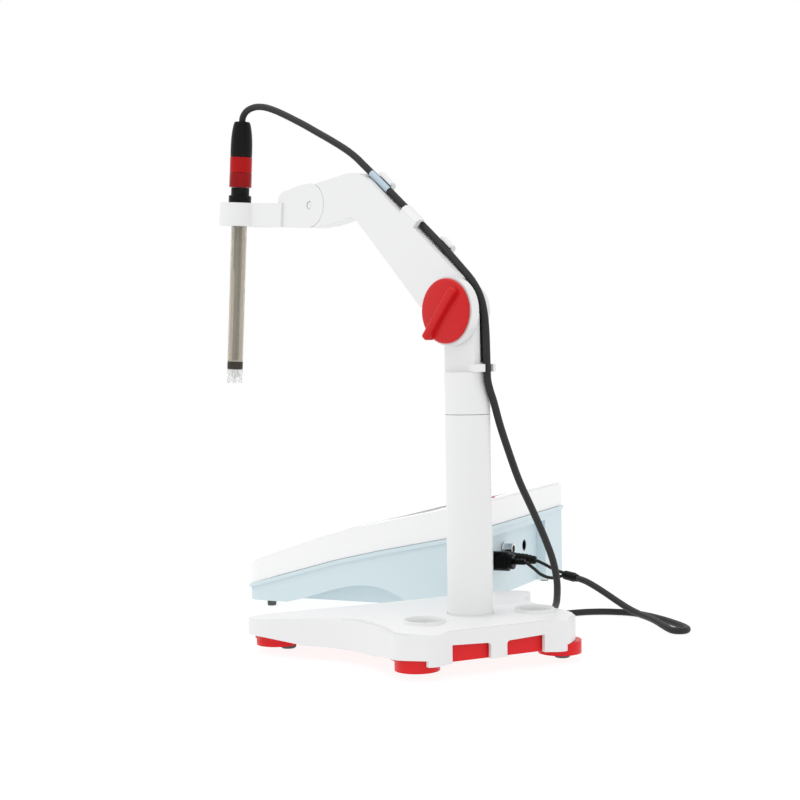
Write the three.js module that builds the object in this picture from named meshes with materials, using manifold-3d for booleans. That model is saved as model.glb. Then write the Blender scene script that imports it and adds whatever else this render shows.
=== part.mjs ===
// A bench pH meter with its electrode stand, electrode and electrode cable.
// Millimetres, +Z up. The meter's width runs along X and its front faces -Y.
// The stand is free-standing, at the right rear corner of the meter.
import * as THREE from 'three';
import Module from 'manifold-3d';
import { mergeVertices } from 'three/addons/utils/BufferGeometryUtils.js';

const wasm = await Module();
wasm.setup();

const DEG = Math.PI / 180;

// ---- fits -------------------------------------------------------------------
const GAP = 0.3;            // between pieces that touch
const RUN = 0.4;            // between pieces that turn or slide on each other
const ROUND = 44;           // sides of a large round

// ---- electrode stand --------------------------------------------------------
const BASE_TURN = -127.6 * DEG;   // the wide end of the base points this way from the column
const ARM_TURN = -111.8 * DEG;    // the arm points this way from the column
const BASE = {
  frontX: -50, backX: 124, halfFront: 68, halfWaist: 64, halfBack: 112, centreY: 6,
  panelX: -43, halfPanel: 34.5, panelY: 4,
  skirtZ: 9.5, topZ: 31.5, edgeZ: 22, wall: 3, edgeRound: 5,
};
const TRAY = { bottomZ: 4.6, plateZ: 10.4, floor: 2.6, inset: 1.2, footR: 14.5, footTop: 13.2 };
const PAD = { radius: 5.5, seat: 1.6, boss: 8.5 };
// Feet and pads about the base's own centre line.
const FEET = [[-27, 49], [-27, -58.5], [103, 89.5], [103, -89.5]];
const PADS = [[-16, 44], [-23, -63], [106, 80], [106, -80]];
const NOTCH = { front: 51.5, back: 72, fromX: -28, toX: 5, rearX: 84, rearFrom: 62 };
const WELL = { x: -13, y: 41.7, bore: 11.1, rim: 15.2, rimHeight: 2, depth: 16, wall: 1.6 };
const WINDOW = { inner: 6, edge: 0.1, innerZ: 19.8, outerZ: 21, depth: 6 };
const COLUMN = { radius: 15.1, wall: 2.4, seamZ: 164.1, socketTop: 9, bossDepth: 13 };
const COLLAR = { topZ: 191.7 };
const SPINDLE = { radius: 9, length: 26 };
const STUD = { radius: 4, headRadius: 7, headHeight: 4 };
const ARM = { half: 7.25, tongue: 3.6, channel: 2.9, channelDepth: 2.1, neckChannel: 3.2 };
const PIVOT = { s: 3.5, z: 232, cheekR: 18.5, tongueR: 15.6, bore: 4.2 };
const RING = { radius: 22.6, height: 7 };
const KNOB = { radius: 21.5, height: 2.8, gripWidth: 6.4, gripHeight: 5.2, tailR: 23.6, turn: -50 * DEG };
const WRIST = { s: 150, z: 313, cheekR: 15.8, tongueR: 12.6, bore: 3.1, lift: 52 * DEG };
const HOLDER_TILT = 4.6 * DEG;
const HOLDER = { discR: 20.1, height: 17.4, reach: 83.6, drop: 7.2, halfBridge: 9, halfWrist: 7.25,
  blockEnd: 36 };
const HOLE = { offset: 8.2, back: 9.6, turn: 118 * DEG, probe: 3.2 };

// ---- electrode, along its own axis, up from the holder's top face -----------
const SHAFT = { radius: 6, wall: 1, drop: 139, band: 6, guard: 10.5 };
const HEAD = { flangeR: 8.7, flange: 5.8, neckR: 7, neck: 6.2, capR: 8.55, cap: 11, sleeve: 12.2,
  bootR: 8.35, boot: 26.5, bootTip: 3.9 };
const BULB = { radius: 3.3, stemR: 1.7, centre: -3.6 };

// ---- cable ------------------------------------------------------------------
const CABLE_R = 2.5;
const LEAD_R = 1.3;

// ---- meter ------------------------------------------------------------------
const METER = {
  rearX: -137, rearY: -58.5, width: 231, depth: 195, cornerR: 14, wall: 2.6,
  frontTopZ: 36.4, bend: 80, bendZ: 63.8, rearTopZ: 88.4, underZ: 6.4, lip: 3.4, lipProud: 1.5, skin: 3.4,
};
const SEAM = [[0, 18.6], [83, 42], [122, 51], [178, 62.4], [195, 67]];    // depth from the front, height
const GRIP = { from: 38, to: 150, depth: 20, peak: 23 };                  // the finger hollow in each side
const RECESS = { depth: 8.3, side: 54, top: 5 };
const SCREEN = { width: 124, height: 66, centreX: -115.5, rear: 27, glass: 2.2, ledge: 3, sunk: 0.9 };
const KEY = { width: 24, height: 13, pitchX: 34, pitchY: 22, columns: 3, rows: 2, from: 36,
  proud: 1.6, flange: 1.4, cornerR: 4 };
const ACCENT = { from: -16, to: -88, inset: 9, width: 2.4, proud: 0.9, sunk: 1 };
const BOARD = { below: 9.5, thick: 1.6, margin: 16, ahead: 33, rear: 16 };
const FOOT = { radius: 4, insetX: 16, insetY: 15, seat: 1.6 };
const SCREW = { radius: 2.8, length: 5, inset: 44 };
const SOCKET_Z = 38;
const BNC = { radius: 4.8, flange: 7, proud: 11, x: -62, plugR: 7.8, plugEnd: 14.5 };
const SPARE = { radius: 4.6, flange: 5.6, proud: 9, x: -98, z: 43 };
const CINCH = { radius: 4.1, flange: 5.4, proud: 8, x: -88, z: 37.3, plugR: 4.6, plugEnd: 23.5 };
const JACK = { radius: 4.6, bore: 3.4, x: -147, z: 40 };

// ---- geometry helpers ---------------------------------------------------------
// A closed geometry with shared vertices and its faces turned outwards.
function closed(geometry) {
  const g = geometry.clone();
  for (const name of Object.keys(g.attributes)) if (name !== 'position') g.deleteAttribute(name);
  const m = mergeVertices(g, 1e-4);
  const p = m.attributes.position;
  const index = Array.from(m.index.array);
  const kept = [];
  let volume = 0;
  for (let i = 0; i < index.length; i += 3) {
    const [a, b, c] = [index[i], index[i + 1], index[i + 2]];
    if (a === b || b === c || a === c) continue;
    kept.push(a, b, c);
    volume += p.getX(a) * (p.getY(b) * p.getZ(c) - p.getZ(b) * p.getY(c))
      - p.getY(a) * (p.getX(b) * p.getZ(c) - p.getZ(b) * p.getX(c))
      + p.getZ(a) * (p.getX(b) * p.getY(c) - p.getY(b) * p.getX(c));
  }
  if (volume < 0) {
    for (let i = 0; i < kept.length; i += 3) [kept[i + 1], kept[i + 2]] = [kept[i + 2], kept[i + 1]];
  }
  m.setIndex(kept);
  return m;
}

function toSolid(geometry) {
  const m = closed(geometry);
  return new wasm.Manifold(new wasm.Mesh({
    numProp: 3,
    vertProperties: new Float32Array(m.attributes.position.array),
    triVerts: new Uint32Array(m.index.array),
  }));
}

function toGeometry(solid) {
  const mesh = solid.getMesh();
  const g = new THREE.BufferGeometry();
  g.setAttribute('position', new THREE.BufferAttribute(new Float32Array(mesh.vertProperties), 3));
  g.setIndex(new THREE.BufferAttribute(new Uint32Array(mesh.triVerts), 1));
  g.computeVertexNormals();
  return g;
}

// Adds the pieces in `plus` together, then takes those in `minus` away.
function carve(plus, minus = []) {
  let solid = toSolid(plus[0]);
  for (const g of plus.slice(1)) solid = solid.add(toSolid(g));
  for (const g of minus) solid = solid.subtract(toSolid(g));
  return toGeometry(solid);
}

function common(a, b) {
  return toGeometry(toSolid(a).intersect(toSolid(b)));
}

// A box given by its lowest and highest corners.
function box(x0, y0, z0, x1, y1, z1) {
  return new THREE.BoxGeometry(x1 - x0, y1 - y0, z1 - z0)
    .translate((x0 + x1) / 2, (y0 + y1) / 2, (z0 + z1) / 2);
}

// A cylinder or cone standing on z0, about the Z axis.
function round(r0, z0, z1, sides = ROUND, r1 = r0) {
  return new THREE.CylinderGeometry(r1, r0, z1 - z0, sides).rotateX(90 * DEG).translate(0, 0, (z0 + z1) / 2);
}

// A cylinder along Y from y0 to y1, about (x, z).
function roundY(radius, y0, y1, x = 0, z = 0, sides = ROUND) {
  return new THREE.CylinderGeometry(radius, radius, y1 - y0, sides).translate(x, (y0 + y1) / 2, z);
}

// A profile of [radius, height] points turned about the Z axis.
function turned(profile, sides = ROUND) {
  return new THREE.LatheGeometry(profile.map(([r, z]) => new THREE.Vector2(r, z)), sides).rotateX(90 * DEG);
}

// A flat outline with its corners rounded; each point is [x, y] or [x, y, radius].
function rounded(points) {
  const shape = new THREE.Shape();
  points.forEach((point, i) => {
    const here = new THREE.Vector2(point[0], point[1]);
    const before = new THREE.Vector2(...points[(i + points.length - 1) % points.length].slice(0, 2));
    const after = new THREE.Vector2(...points[(i + 1) % points.length].slice(0, 2));
    const toBefore = before.clone().sub(here);
    const toAfter = after.clone().sub(here);
    const reach = Math.min(point[2] ?? 0, toBefore.length() * 0.48, toAfter.length() * 0.48);
    const start = here.clone().add(toBefore.setLength(reach));
    const end = here.clone().add(toAfter.setLength(reach));
    if (i === 0) shape.moveTo(start.x, start.y);
    else shape.lineTo(start.x, start.y);
    if (reach > 0) shape.quadraticCurveTo(here.x, here.y, end.x, end.y);
  });
  shape.closePath();
  return shape;
}

// An outline in X and Y, from z0 to z1.
function prism(shape, z0, z1, curveSegments = 6) {
  return new THREE.ExtrudeGeometry(shape, { depth: z1 - z0, bevelEnabled: false, curveSegments })
    .translate(0, 0, z0);
}

// An outline in X and Z, carried along Y from y0 to y1.
function slab(shape, y0, y1, curveSegments = 6) {
  return prism(shape, -y1, -y0, curveSegments).rotateX(90 * DEG);
}

// An outline in Y and Z, carried along X from x0 to x1.
function plank(shape, x0, x1, curveSegments = 6) {
  const turn = new THREE.Matrix4().makeBasis(
    new THREE.Vector3(0, 1, 0), new THREE.Vector3(0, 0, 1), new THREE.Vector3(1, 0, 0));
  return prism(shape, x0, x1, curveSegments).applyMatrix4(turn);
}

function rectangle(x0, y0, x1, y1, radius) {
  return rounded([[x0, y0, radius], [x1, y0, radius], [x1, y1, radius], [x0, y1, radius]]);
}

// A round cord along a smooth line through the points.
function cord(points, radius, step, sides = 8) {
  const curve = new THREE.CatmullRomCurve3(points.map((p) => new THREE.Vector3(...p)), false, 'centripetal');
  const steps = Math.max(4, Math.round(curve.getLength() / step));
  const section = new THREE.Shape();
  for (let i = 0; i < sides; i += 1) {
    const a = (i / sides) * 2 * Math.PI;
    if (i === 0) section.moveTo(radius, 0);
    else section.lineTo(radius * Math.cos(a), radius * Math.sin(a));
  }
  section.closePath();
  return new THREE.ExtrudeGeometry(section, { steps, bevelEnabled: false, extrudePath: curve });
}

// ---- finishes -----------------------------------------------------------------
const FINISH = {
  white: [0xf2f2f3, 0.42, 0],
  blue: [0xd3e3ea, 0.45, 0],
  red: [0xd0202c, 0.35, 0],
  darkRed: [0x8c1a22, 0.25, 0],
  black: [0x1b1c1d, 0.4, 0],
  cable: [0x2c2d2e, 0.6, 0],
  rubber: [0x55585a, 0.8, 0],
  steel: [0xb9bcc0, 0.3, 1],
  glass: [0xb5ad9c, 0.15, 0],
  screen: [0x3b4a4f, 0.15, 0],
  key: [0xe4e7e9, 0.5, 0],
  board: [0x1f6b3c, 0.5, 0],
};

function place(parent, name, geometry, finish, position = [0, 0, 0], rotation = [0, 0, 0]) {
  const [color, roughness, metalness] = FINISH[finish];
  const material = new THREE.MeshStandardMaterial({ color, roughness, metalness });
  const mesh = new THREE.Mesh(closed(geometry), material);
  mesh.name = name;
  mesh.position.set(...position);
  mesh.rotation.set(...rotation);
  parent.add(mesh);
  return mesh;
}

function group(parent, position = [0, 0, 0], rotation = [0, 0, 0]) {
  const g = new THREE.Group();
  g.position.set(...position);
  g.rotation.set(...rotation);
  parent.add(g);
  return g;
}

const phMeter = new THREE.Group();
const site = group(phMeter);      // moved at the end so that the origin is under the middle

// ---- stand base: X runs along the base to its wide end ------------------------
// The outline of the base, drawn in by `inset`.
function baseOutline(inset) {
  const b = BASE;
  const side = (sign) => [
    [b.panelX + inset, b.panelY + sign * (b.halfPanel + inset * 0.5), 1.5],
    [b.frontX + inset, b.centreY + sign * (b.halfFront - 20), 7],
    [b.frontX + 17, b.centreY + sign * (b.halfFront + 1 - inset), 10],
    [-18, b.centreY + sign * (b.halfWaist + 2 - inset), 12],
    [14, b.centreY + sign * (b.halfWaist - inset), 24],
    [48, b.centreY + sign * (b.halfWaist + 12 - inset), 24],
    [84, b.centreY + sign * (b.halfBack - 5 - inset), 12],
    [102, b.centreY + sign * (b.halfBack + 1 - inset), 14],
    [b.backX - 1 - inset, b.centreY + sign * (b.halfBack - 14 - inset), 14],
    [b.backX - 3 - inset, b.centreY + sign * 70, 16],
    [b.backX - 6 - inset, b.centreY + sign * 30, 16],
  ];
  return rounded([...side(-1).reverse(), ...side(1)]);
}

// Everything under the sloping top of the base, lowered by `drop`.
function underTop(drop) {
  const b = BASE;
  const shape = new THREE.Shape();
  shape.moveTo(b.frontX - 20, -20);
  shape.lineTo(b.backX + 20, -20);
  shape.lineTo(b.backX + 20, b.edgeZ - 1.4 - drop);
  shape.lineTo(18, b.topZ - drop);
  shape.lineTo(-22, b.topZ - drop);
  shape.lineTo(b.frontX - 20, b.topZ - 4 - drop);
  shape.closePath();
  return slab(shape, -b.halfBack - 20, b.halfBack + 20);
}

function baseBody(inset, drop, bottomZ) {
  const b = BASE;
  const lower = prism(baseOutline(inset), bottomZ, b.topZ - b.edgeRound * 0.4 - drop, 3);
  const upper = prism(baseOutline(inset + b.edgeRound * 0.3), bottomZ, b.topZ - drop, 3);
  return common(carve([lower, upper]), underTop(drop));
}

const standBase = group(site, [0, 0, 0], [0, 0, BASE_TURN]);

function wells(make) {
  return [1, -1].map((side) => make().translate(WELL.x, side * WELL.y, 0));
}

function atFeet(make) {
  return FEET.map(([x, y]) => make(x, y + BASE.centreY));
}

// The skirt lifts at each corner and shows the foot.
function notches() {
  const n = NOTCH;
  const top = TRAY.footTop + GAP;
  const low = BASE.skirtZ - 0.01;
  const front = rounded([[BASE.frontX - 9, 0, 0], [BASE.frontX - 9, top, 0], [n.fromX, top, 8], [n.toX, low, 8],
    [n.toX, 0, 0]]);
  const back = rounded([[BASE.backX + 9, 0, 0], [BASE.backX + 9, top, 0], [n.rearX, top, 8],
    [n.rearFrom, low, 8], [n.rearFrom, 0, 0]]);
  const out = [];
  for (const side of [1, -1]) {
    for (const [shape, from] of [[front, n.front], [back, n.back]]) {
      const ends = [BASE.centreY + side * from, BASE.centreY + side * (BASE.halfBack + 20)];
      out.push(slab(shape, Math.min(...ends), Math.max(...ends)));
    }
  }
  return out;
}

function buildBase() {
  const b = BASE;
  const rims = wells(() => round(WELL.rim, b.topZ - 6, b.topZ + WELL.rimHeight, 24, WELL.rim - 2));
  const cups = wells(() => round(WELL.bore + WELL.wall, b.topZ - WELL.depth - WELL.wall, b.topZ, 24));
  const bores = wells(() => round(WELL.bore, b.topZ - WELL.depth, b.topZ + WELL.rimHeight + 1, 24));
  const flares = wells(() => round(WELL.bore, b.topZ - 1, b.topZ + WELL.rimHeight + 0.02, 24, WELL.bore + 2));
  const hollow = baseBody(b.wall, b.wall, b.skirtZ - 1);
  const windows = [1, -1].map((side) => {
    const near = b.panelY + side * WINDOW.inner;
    const far = b.panelY + side * (b.halfPanel - WINDOW.edge);
    return plank(rounded([[near, 0, 0], [near, WINDOW.innerZ, 2.5], [far, WINDOW.outerZ, 0], [far, 0, 0]]),
      b.frontX - 5, b.panelX + WINDOW.depth);
  });
  const seats = atFeet((x, y) => round(TRAY.footR + RUN, 0, TRAY.footTop + GAP, 24).translate(x, y, 0));
  const outer = baseBody(0, 0, b.skirtZ);
  let shell = toSolid(outer).subtract(toSolid(hollow));
  for (const g of [...rims, ...cups]) shell = shell.add(toSolid(g));
  const boss = round(COLUMN.radius + 3, b.topZ - COLUMN.bossDepth, b.topZ + 0.8, ROUND, COLUMN.radius + 1.2);
  shell = shell.add(toSolid(boss));
  for (const g of [...bores, ...flares, ...windows, ...seats, ...notches()]) shell = shell.subtract(toSolid(g));
  const socket = round(COLUMN.radius + GAP, b.topZ - COLUMN.socketTop, b.topZ + 5);
  shell = shell.subtract(toSolid(socket)).subtract(toSolid(round(STUD.radius + GAP, 0, b.topZ)));
  place(standBase, 'base_shell', toGeometry(shell), 'white');

  // The red tray lies inside the skirt; its feet show at the corners and its lip behind the windows.
  const feet = atFeet((x, y) => round(TRAY.footR, TRAY.bottomZ, TRAY.footTop, 28).translate(x, y, 0));
  const bosses = PADS.map(([x, y]) => round(PAD.boss, TRAY.bottomZ, TRAY.plateZ + 1, 24)
    .translate(x, y + b.centreY, 0));
  const plate = prism(baseOutline(b.wall + TRAY.inset), TRAY.plateZ, TRAY.plateZ + TRAY.floor, 2);
  const lipX = b.panelX + b.wall + TRAY.inset;
  const lip = prism(rectangle(lipX, b.panelY - b.halfPanel - 2, lipX + 2.4, b.panelY + b.halfPanel + 2, 0),
    b.skirtZ, WINDOW.outerZ + 2);
  const studHole = round(STUD.headRadius + 1, 0, b.topZ, 24);
  const padSeats = PADS.map(([x, y]) => round(PAD.radius + GAP, 0, TRAY.bottomZ + PAD.seat, 24)
    .translate(x, y + b.centreY, 0));
  place(standBase, 'base_tray', carve([plate, ...feet, ...bosses, lip], [...padSeats, studHole]), 'red');
  PADS.forEach(([x, y], i) => {
    const padTop = TRAY.bottomZ + PAD.seat - GAP;
    const pad = turned([[0, 0], [PAD.radius - 1, 0], [PAD.radius, 1], [PAD.radius, padTop], [0, padTop]], 20);
    place(standBase, `base_pad_${i + 1}`, pad, 'rubber', [x, y + b.centreY, 0]);
  });
  const ballastZ = TRAY.plateZ + TRAY.floor + GAP;
  place(standBase, 'ballast_plate', box(24, -46, ballastZ, 92, 58, ballastZ + 4), 'steel');
}
buildBase();

// ---- column, swivel head and their fastening ----------------------------------
const head = group(site, [0, 0, 0], [0, 0, ARM_TURN]);   // X along the arm, Y towards the knob

function buildColumn() {
  const c = COLUMN;
  const footZ = BASE.topZ - c.socketTop + GAP;
  const tube = carve([round(c.radius, footZ, c.seamZ - GAP)],
    [round(SPINDLE.radius + RUN, c.seamZ - SPINDLE.length - 2, c.seamZ + 1),
      round(c.radius - c.wall, footZ + 5, c.seamZ - SPINDLE.length - 7),
      round(STUD.radius + GAP, footZ - 1, footZ + 6, 16)]);
  const vent = box(-2, -1.2, c.seamZ - SPINDLE.length - 8, 2, 1.2, c.seamZ - SPINDLE.length);
  place(site, 'column', carve([tube], [vent]), 'white');
  const headZ = BASE.topZ - COLUMN.bossDepth - GAP - STUD.headHeight;
  const stud = carve([round(STUD.radius, headZ, footZ + 9, 16),
    round(STUD.headRadius, headZ, headZ + STUD.headHeight, 6)]);
  place(site, 'column_bolt', stud, 'steel');
  const nut = carve([round(STUD.headRadius, footZ + 5 + GAP, footZ + 10, 6)],
    [round(STUD.radius + GAP, footZ, footZ + 12, 16)]);
  place(site, 'column_nut', nut, 'steel');
}
buildColumn();

function disc(radius, y0, y1, centre, sides = ROUND) {
  return roundY(radius, y0, y1, centre.s, centre.z, sides);
}

function buildHead() {
  const h = ARM.half;
  const collar = round(COLUMN.radius, COLUMN.seamZ, COLLAR.topZ);
  const neckShape = rounded([[-15, COLLAR.topZ - 2, 0], [15.2, COLLAR.topZ - 2, 0],
    [15.2, PIVOT.z, 0], [-15, PIVOT.z, 0]]);
  const neck = common(slab(neckShape, -h, h), round(COLUMN.radius + 0.2, COLLAR.topZ - 4, PIVOT.z + 4));
  const cheeks = disc(PIVOT.cheekR, -h, h, PIVOT);
  const lap = disc(PIVOT.tongueR + RUN, -ARM.tongue - RUN, ARM.tongue + RUN, PIVOT);
  const above = box(-40, -ARM.tongue - RUN, PIVOT.z - 2, 45, ARM.tongue + RUN, PIVOT.z + 40);
  const sweep = box(PIVOT.s, -ARM.tongue - RUN, PIVOT.z - PIVOT.tongueR - RUN, 60, ARM.tongue + RUN, PIVOT.z);
  const ring = disc(RING.radius, h + GAP, h + RING.height, PIVOT);
  const ringRoot = disc(PIVOT.cheekR - 1, h - 1, h + 1, PIVOT);
  const channel = box(-40, -ARM.channel, COLLAR.topZ + 6, -15 + ARM.neckChannel, ARM.channel, PIVOT.z + 20);
  const bore = disc(PIVOT.bore, -30, 30, PIVOT, 20);
  const nutPocket = disc(7.4, -h - 1, -h + 1.6, PIVOT, 6);
  const prongs = [[CABLE_R + 2.4, h + 1.1, -9.5], [-CABLE_R - 2.5, -CABLE_R - GAP, -13]]
    .map(([y0, y1, x1]) => box(-21.4, y0, COLLAR.topZ + 0.2, x1, y1, COLLAR.topZ + 5.2));
  const clipBack = box(-14.9, -CABLE_R - 2.5, COLLAR.topZ + 0.2, -11, CABLE_R + 2.5, COLLAR.topZ + 5.2);
  const socket = round(4.5 + GAP, COLUMN.seamZ - 1, COLUMN.seamZ + 12, 20);
  place(head, 'swivel_head', carve([collar, neck, cheeks, ringRoot, ring, ...prongs, clipBack],
    [lap, above, sweep, channel, bore, nutPocket, socket]), 'white');
  const pin = carve([round(SPINDLE.radius, COLUMN.seamZ - SPINDLE.length, COLUMN.seamZ - GAP, 28),
    round(4.5, COLUMN.seamZ - 2, COLUMN.seamZ + 11, 20)]);
  place(head, 'swivel_spindle', pin, 'steel');
}
buildHead();

// ---- arm ------------------------------------------------------------------------
const ARM_TOP = [[156, 326.3, 0], [108, 332.2, 9], [97.5, 331.8, 9], [86.5, 326, 9], [-2.6, 253.6, 0]];
const ARM_UNDER = [[36, 235.6, 0], [102.8, 302.1, 6], [131, 297.4, 5], [150, 296.8, 0]];

// A point on the straight back of the arm, `along` its length from the pivot, `proud` of its surface.
const BACK_FROM = new THREE.Vector2(-2.6, 253.6);
const BACK_TO = new THREE.Vector2(86.5, 326);
const BACK_DIR = BACK_TO.clone().sub(BACK_FROM).normalize();
const BACK_OUT = new THREE.Vector2(-BACK_DIR.y, BACK_DIR.x);
const BACK_TURN = Math.atan2(BACK_DIR.y, BACK_DIR.x);

function backTab(along, length, side) {
  const t = ARM.channel;
  const lift = 2 * CABLE_R + 0.7;
  const section = new THREE.Shape();
  section.moveTo(side * t, -ARM.channelDepth);
  section.lineTo(side * ARM.half, -ARM.channelDepth);
  section.lineTo(side * ARM.half, lift - 1.4);
  section.lineTo(side * (ARM.half - 2.2), lift + 0.9);
  section.lineTo(side * 0.4, lift + 0.9);
  section.lineTo(side * 0.4, lift - 0.5);
  section.lineTo(side * (t - 0.2), lift - 0.9);
  section.closePath();
  const g = new THREE.ExtrudeGeometry(section, { depth: length, bevelEnabled: false });
  const basis = new THREE.Matrix4().makeBasis(
    new THREE.Vector3(0, 1, 0),
    new THREE.Vector3(BACK_OUT.x, 0, BACK_OUT.y),
    new THREE.Vector3(BACK_DIR.x, 0, BACK_DIR.y));
  return g.applyMatrix4(basis).translate(BACK_FROM.x + BACK_DIR.x * along, 0, BACK_FROM.y + BACK_DIR.y * along);
}

function buildArm() {
  const h = ARM.half;
  const outline = rounded([...ARM_TOP, [PIVOT.s, PIVOT.z + 10, 0], [PIVOT.s + 14, PIVOT.z, 0], ...ARM_UNDER]);
  const body = slab(outline, -h, h);
  const clearPivot = [disc(PIVOT.cheekR + RUN, -h - 1, -ARM.tongue, PIVOT),
    disc(PIVOT.cheekR + RUN, ARM.tongue, h + 1, PIVOT)];
  const clearWrist = [disc(WRIST.cheekR + RUN, -h - 1, -ARM.tongue, WRIST),
    disc(WRIST.cheekR + RUN, ARM.tongue, h + 1, WRIST)];
  const tongueLow = disc(PIVOT.tongueR, -ARM.tongue, ARM.tongue, PIVOT, 24);
  const tongueHigh = disc(WRIST.tongueR, -ARM.tongue, ARM.tongue, WRIST, 24);
  const endHigh = box(WRIST.s, -h - 1, 280, 180, h + 1, 345);
  const channel = new THREE.BoxGeometry(150, 2 * ARM.channel, 2 * ARM.channelDepth)
    .rotateY(-BACK_TURN)
    .translate(BACK_FROM.x + BACK_DIR.x * 46, 0, BACK_FROM.y + BACK_DIR.y * 46);
  const hollow = rounded([[28, 258, 0], [40, 252, 4], [88, 302, 4], [96, 316, 6], [88, 316, 5]]);
  const bone = slab(hollow, -h - 1, -h + 1.5);
  let solid = toSolid(body);
  for (const g of [...clearPivot, ...clearWrist, endHigh]) solid = solid.subtract(toSolid(g));
  solid = solid.add(toSolid(tongueLow)).add(toSolid(tongueHigh));
  solid = solid.subtract(toSolid(channel)).subtract(toSolid(bone));
  const tabs = [backTab(57, 17, 1), backTab(27, 11, -1), backTab(101, 14, -1)];
  for (const g of tabs) solid = solid.add(toSolid(g));
  solid = solid.subtract(toSolid(disc(PIVOT.bore, -30, 30, PIVOT, 20)));
  solid = solid.subtract(toSolid(disc(WRIST.bore, -30, 30, WRIST, 16)));
  place(head, 'arm', toGeometry(solid), 'white');
}
buildArm();

// ---- knob and pivot bolt ---------------------------------------------------------
function buildKnob() {
  const y0 = ARM.half + RING.height + RUN;
  const knob = group(head, [PIVOT.s, y0, PIVOT.z], [-90 * DEG, 0, 0]);   // local Z away from the arm
  const dome = turned([[0, 0], [KNOB.radius - 0.6, 0], [KNOB.radius, 0.6], [KNOB.radius, KNOB.height - 1.2],
    [KNOB.radius - 1.2, KNOB.height - 0.2], [KNOB.radius - 7, KNOB.height + 0.7], [0, KNOB.height + 1.1]]);
  const w = KNOB.gripWidth / 2;
  const grip = prism(rounded([[-KNOB.radius + 3, -w, 3], [KNOB.tailR, -w * 0.8, 3], [KNOB.tailR, w * 0.8, 3],
    [-KNOB.radius + 3, w, 3]]), 0.6, KNOB.height + KNOB.gripHeight).rotateZ(-KNOB.turn);
  place(knob, 'clamp_knob', carve([dome, grip], [round(PIVOT.bore, -1, 2.5, 20)]), 'red');
  const bolt = roundY(PIVOT.bore - GAP, -ARM.half - 4.5, y0 + 2.2, PIVOT.s, PIVOT.z, 20);
  place(head, 'clamp_bolt', bolt, 'steel');
  const nut = carve([roundY(7, -ARM.half - 4, -ARM.half + 1.3, PIVOT.s, PIVOT.z, 6)],
    [roundY(PIVOT.bore, -ARM.half - 6, 0, PIVOT.s, PIVOT.z, 20)]);
  place(head, 'clamp_nut', nut, 'steel');
}
buildKnob();

// ---- electrode holder: X outwards from the wrist pin ------------------------------
const holder = group(head, [WRIST.s, 0, WRIST.z], [0, -HOLDER_TILT, 0]);

function buildHolder() {
  const h = HOLDER.height / 2;
  const low = -HOLDER.drop - h;
  const high = -HOLDER.drop + h;
  const end = HOLDER.blockEnd;
  const plate = round(HOLDER.discR, low, high).translate(HOLDER.reach, 0, 0);
  const bridge = box(30, -HOLDER.halfBridge, low, HOLDER.reach, HOLDER.halfBridge, high);
  const block = slab(rounded([[0, -WRIST.cheekR, 0], [end, low, 0], [end, high + 4, 2], [end - 4, high + 8, 4],
    [12, WRIST.cheekR - 1.4, 4], [0, WRIST.cheekR, 0]]), -HOLDER.halfWrist, HOLDER.halfWrist);
  const knuckle = roundY(WRIST.cheekR, -HOLDER.halfWrist, HOLDER.halfWrist);
  const clear = box(-40, -ARM.tongue - RUN, -30, 3, ARM.tongue + RUN, 30);
  const slot = [roundY(WRIST.tongueR + RUN, -ARM.tongue - RUN, ARM.tongue + RUN, 0, 0, 24), clear,
    clear.clone().rotateY(WRIST.lift)];
  const holes = [[HOLE.offset, 0, SHAFT.radius + GAP],
    [HOLE.back * Math.cos(HOLE.turn), HOLE.back * Math.sin(HOLE.turn), SHAFT.radius + GAP],
    [HOLE.back * Math.cos(HOLE.turn), -HOLE.back * Math.sin(HOLE.turn), HOLE.probe]]
    .map(([x, y, r]) => round(r, low - 5, high + 5, 28).translate(HOLDER.reach + x, y, 0));
  place(holder, 'electrode_holder', carve([plate, bridge, block, knuckle], [...slot, ...holes,
    roundY(WRIST.bore, -30, 30, 0, 0, 16)]), 'white');
  const pin = roundY(WRIST.bore - GAP, -HOLDER.halfWrist + 0.6, HOLDER.halfWrist - 0.6, 0, 0, 16);
  place(holder, 'wrist_pin', pin, 'steel');
}
buildHolder();

// ---- electrode ---------------------------------------------------------------------
const electrode = group(holder, [HOLDER.reach + HOLE.offset, 0, HOLDER.height / 2 - HOLDER.drop + GAP]);

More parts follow.
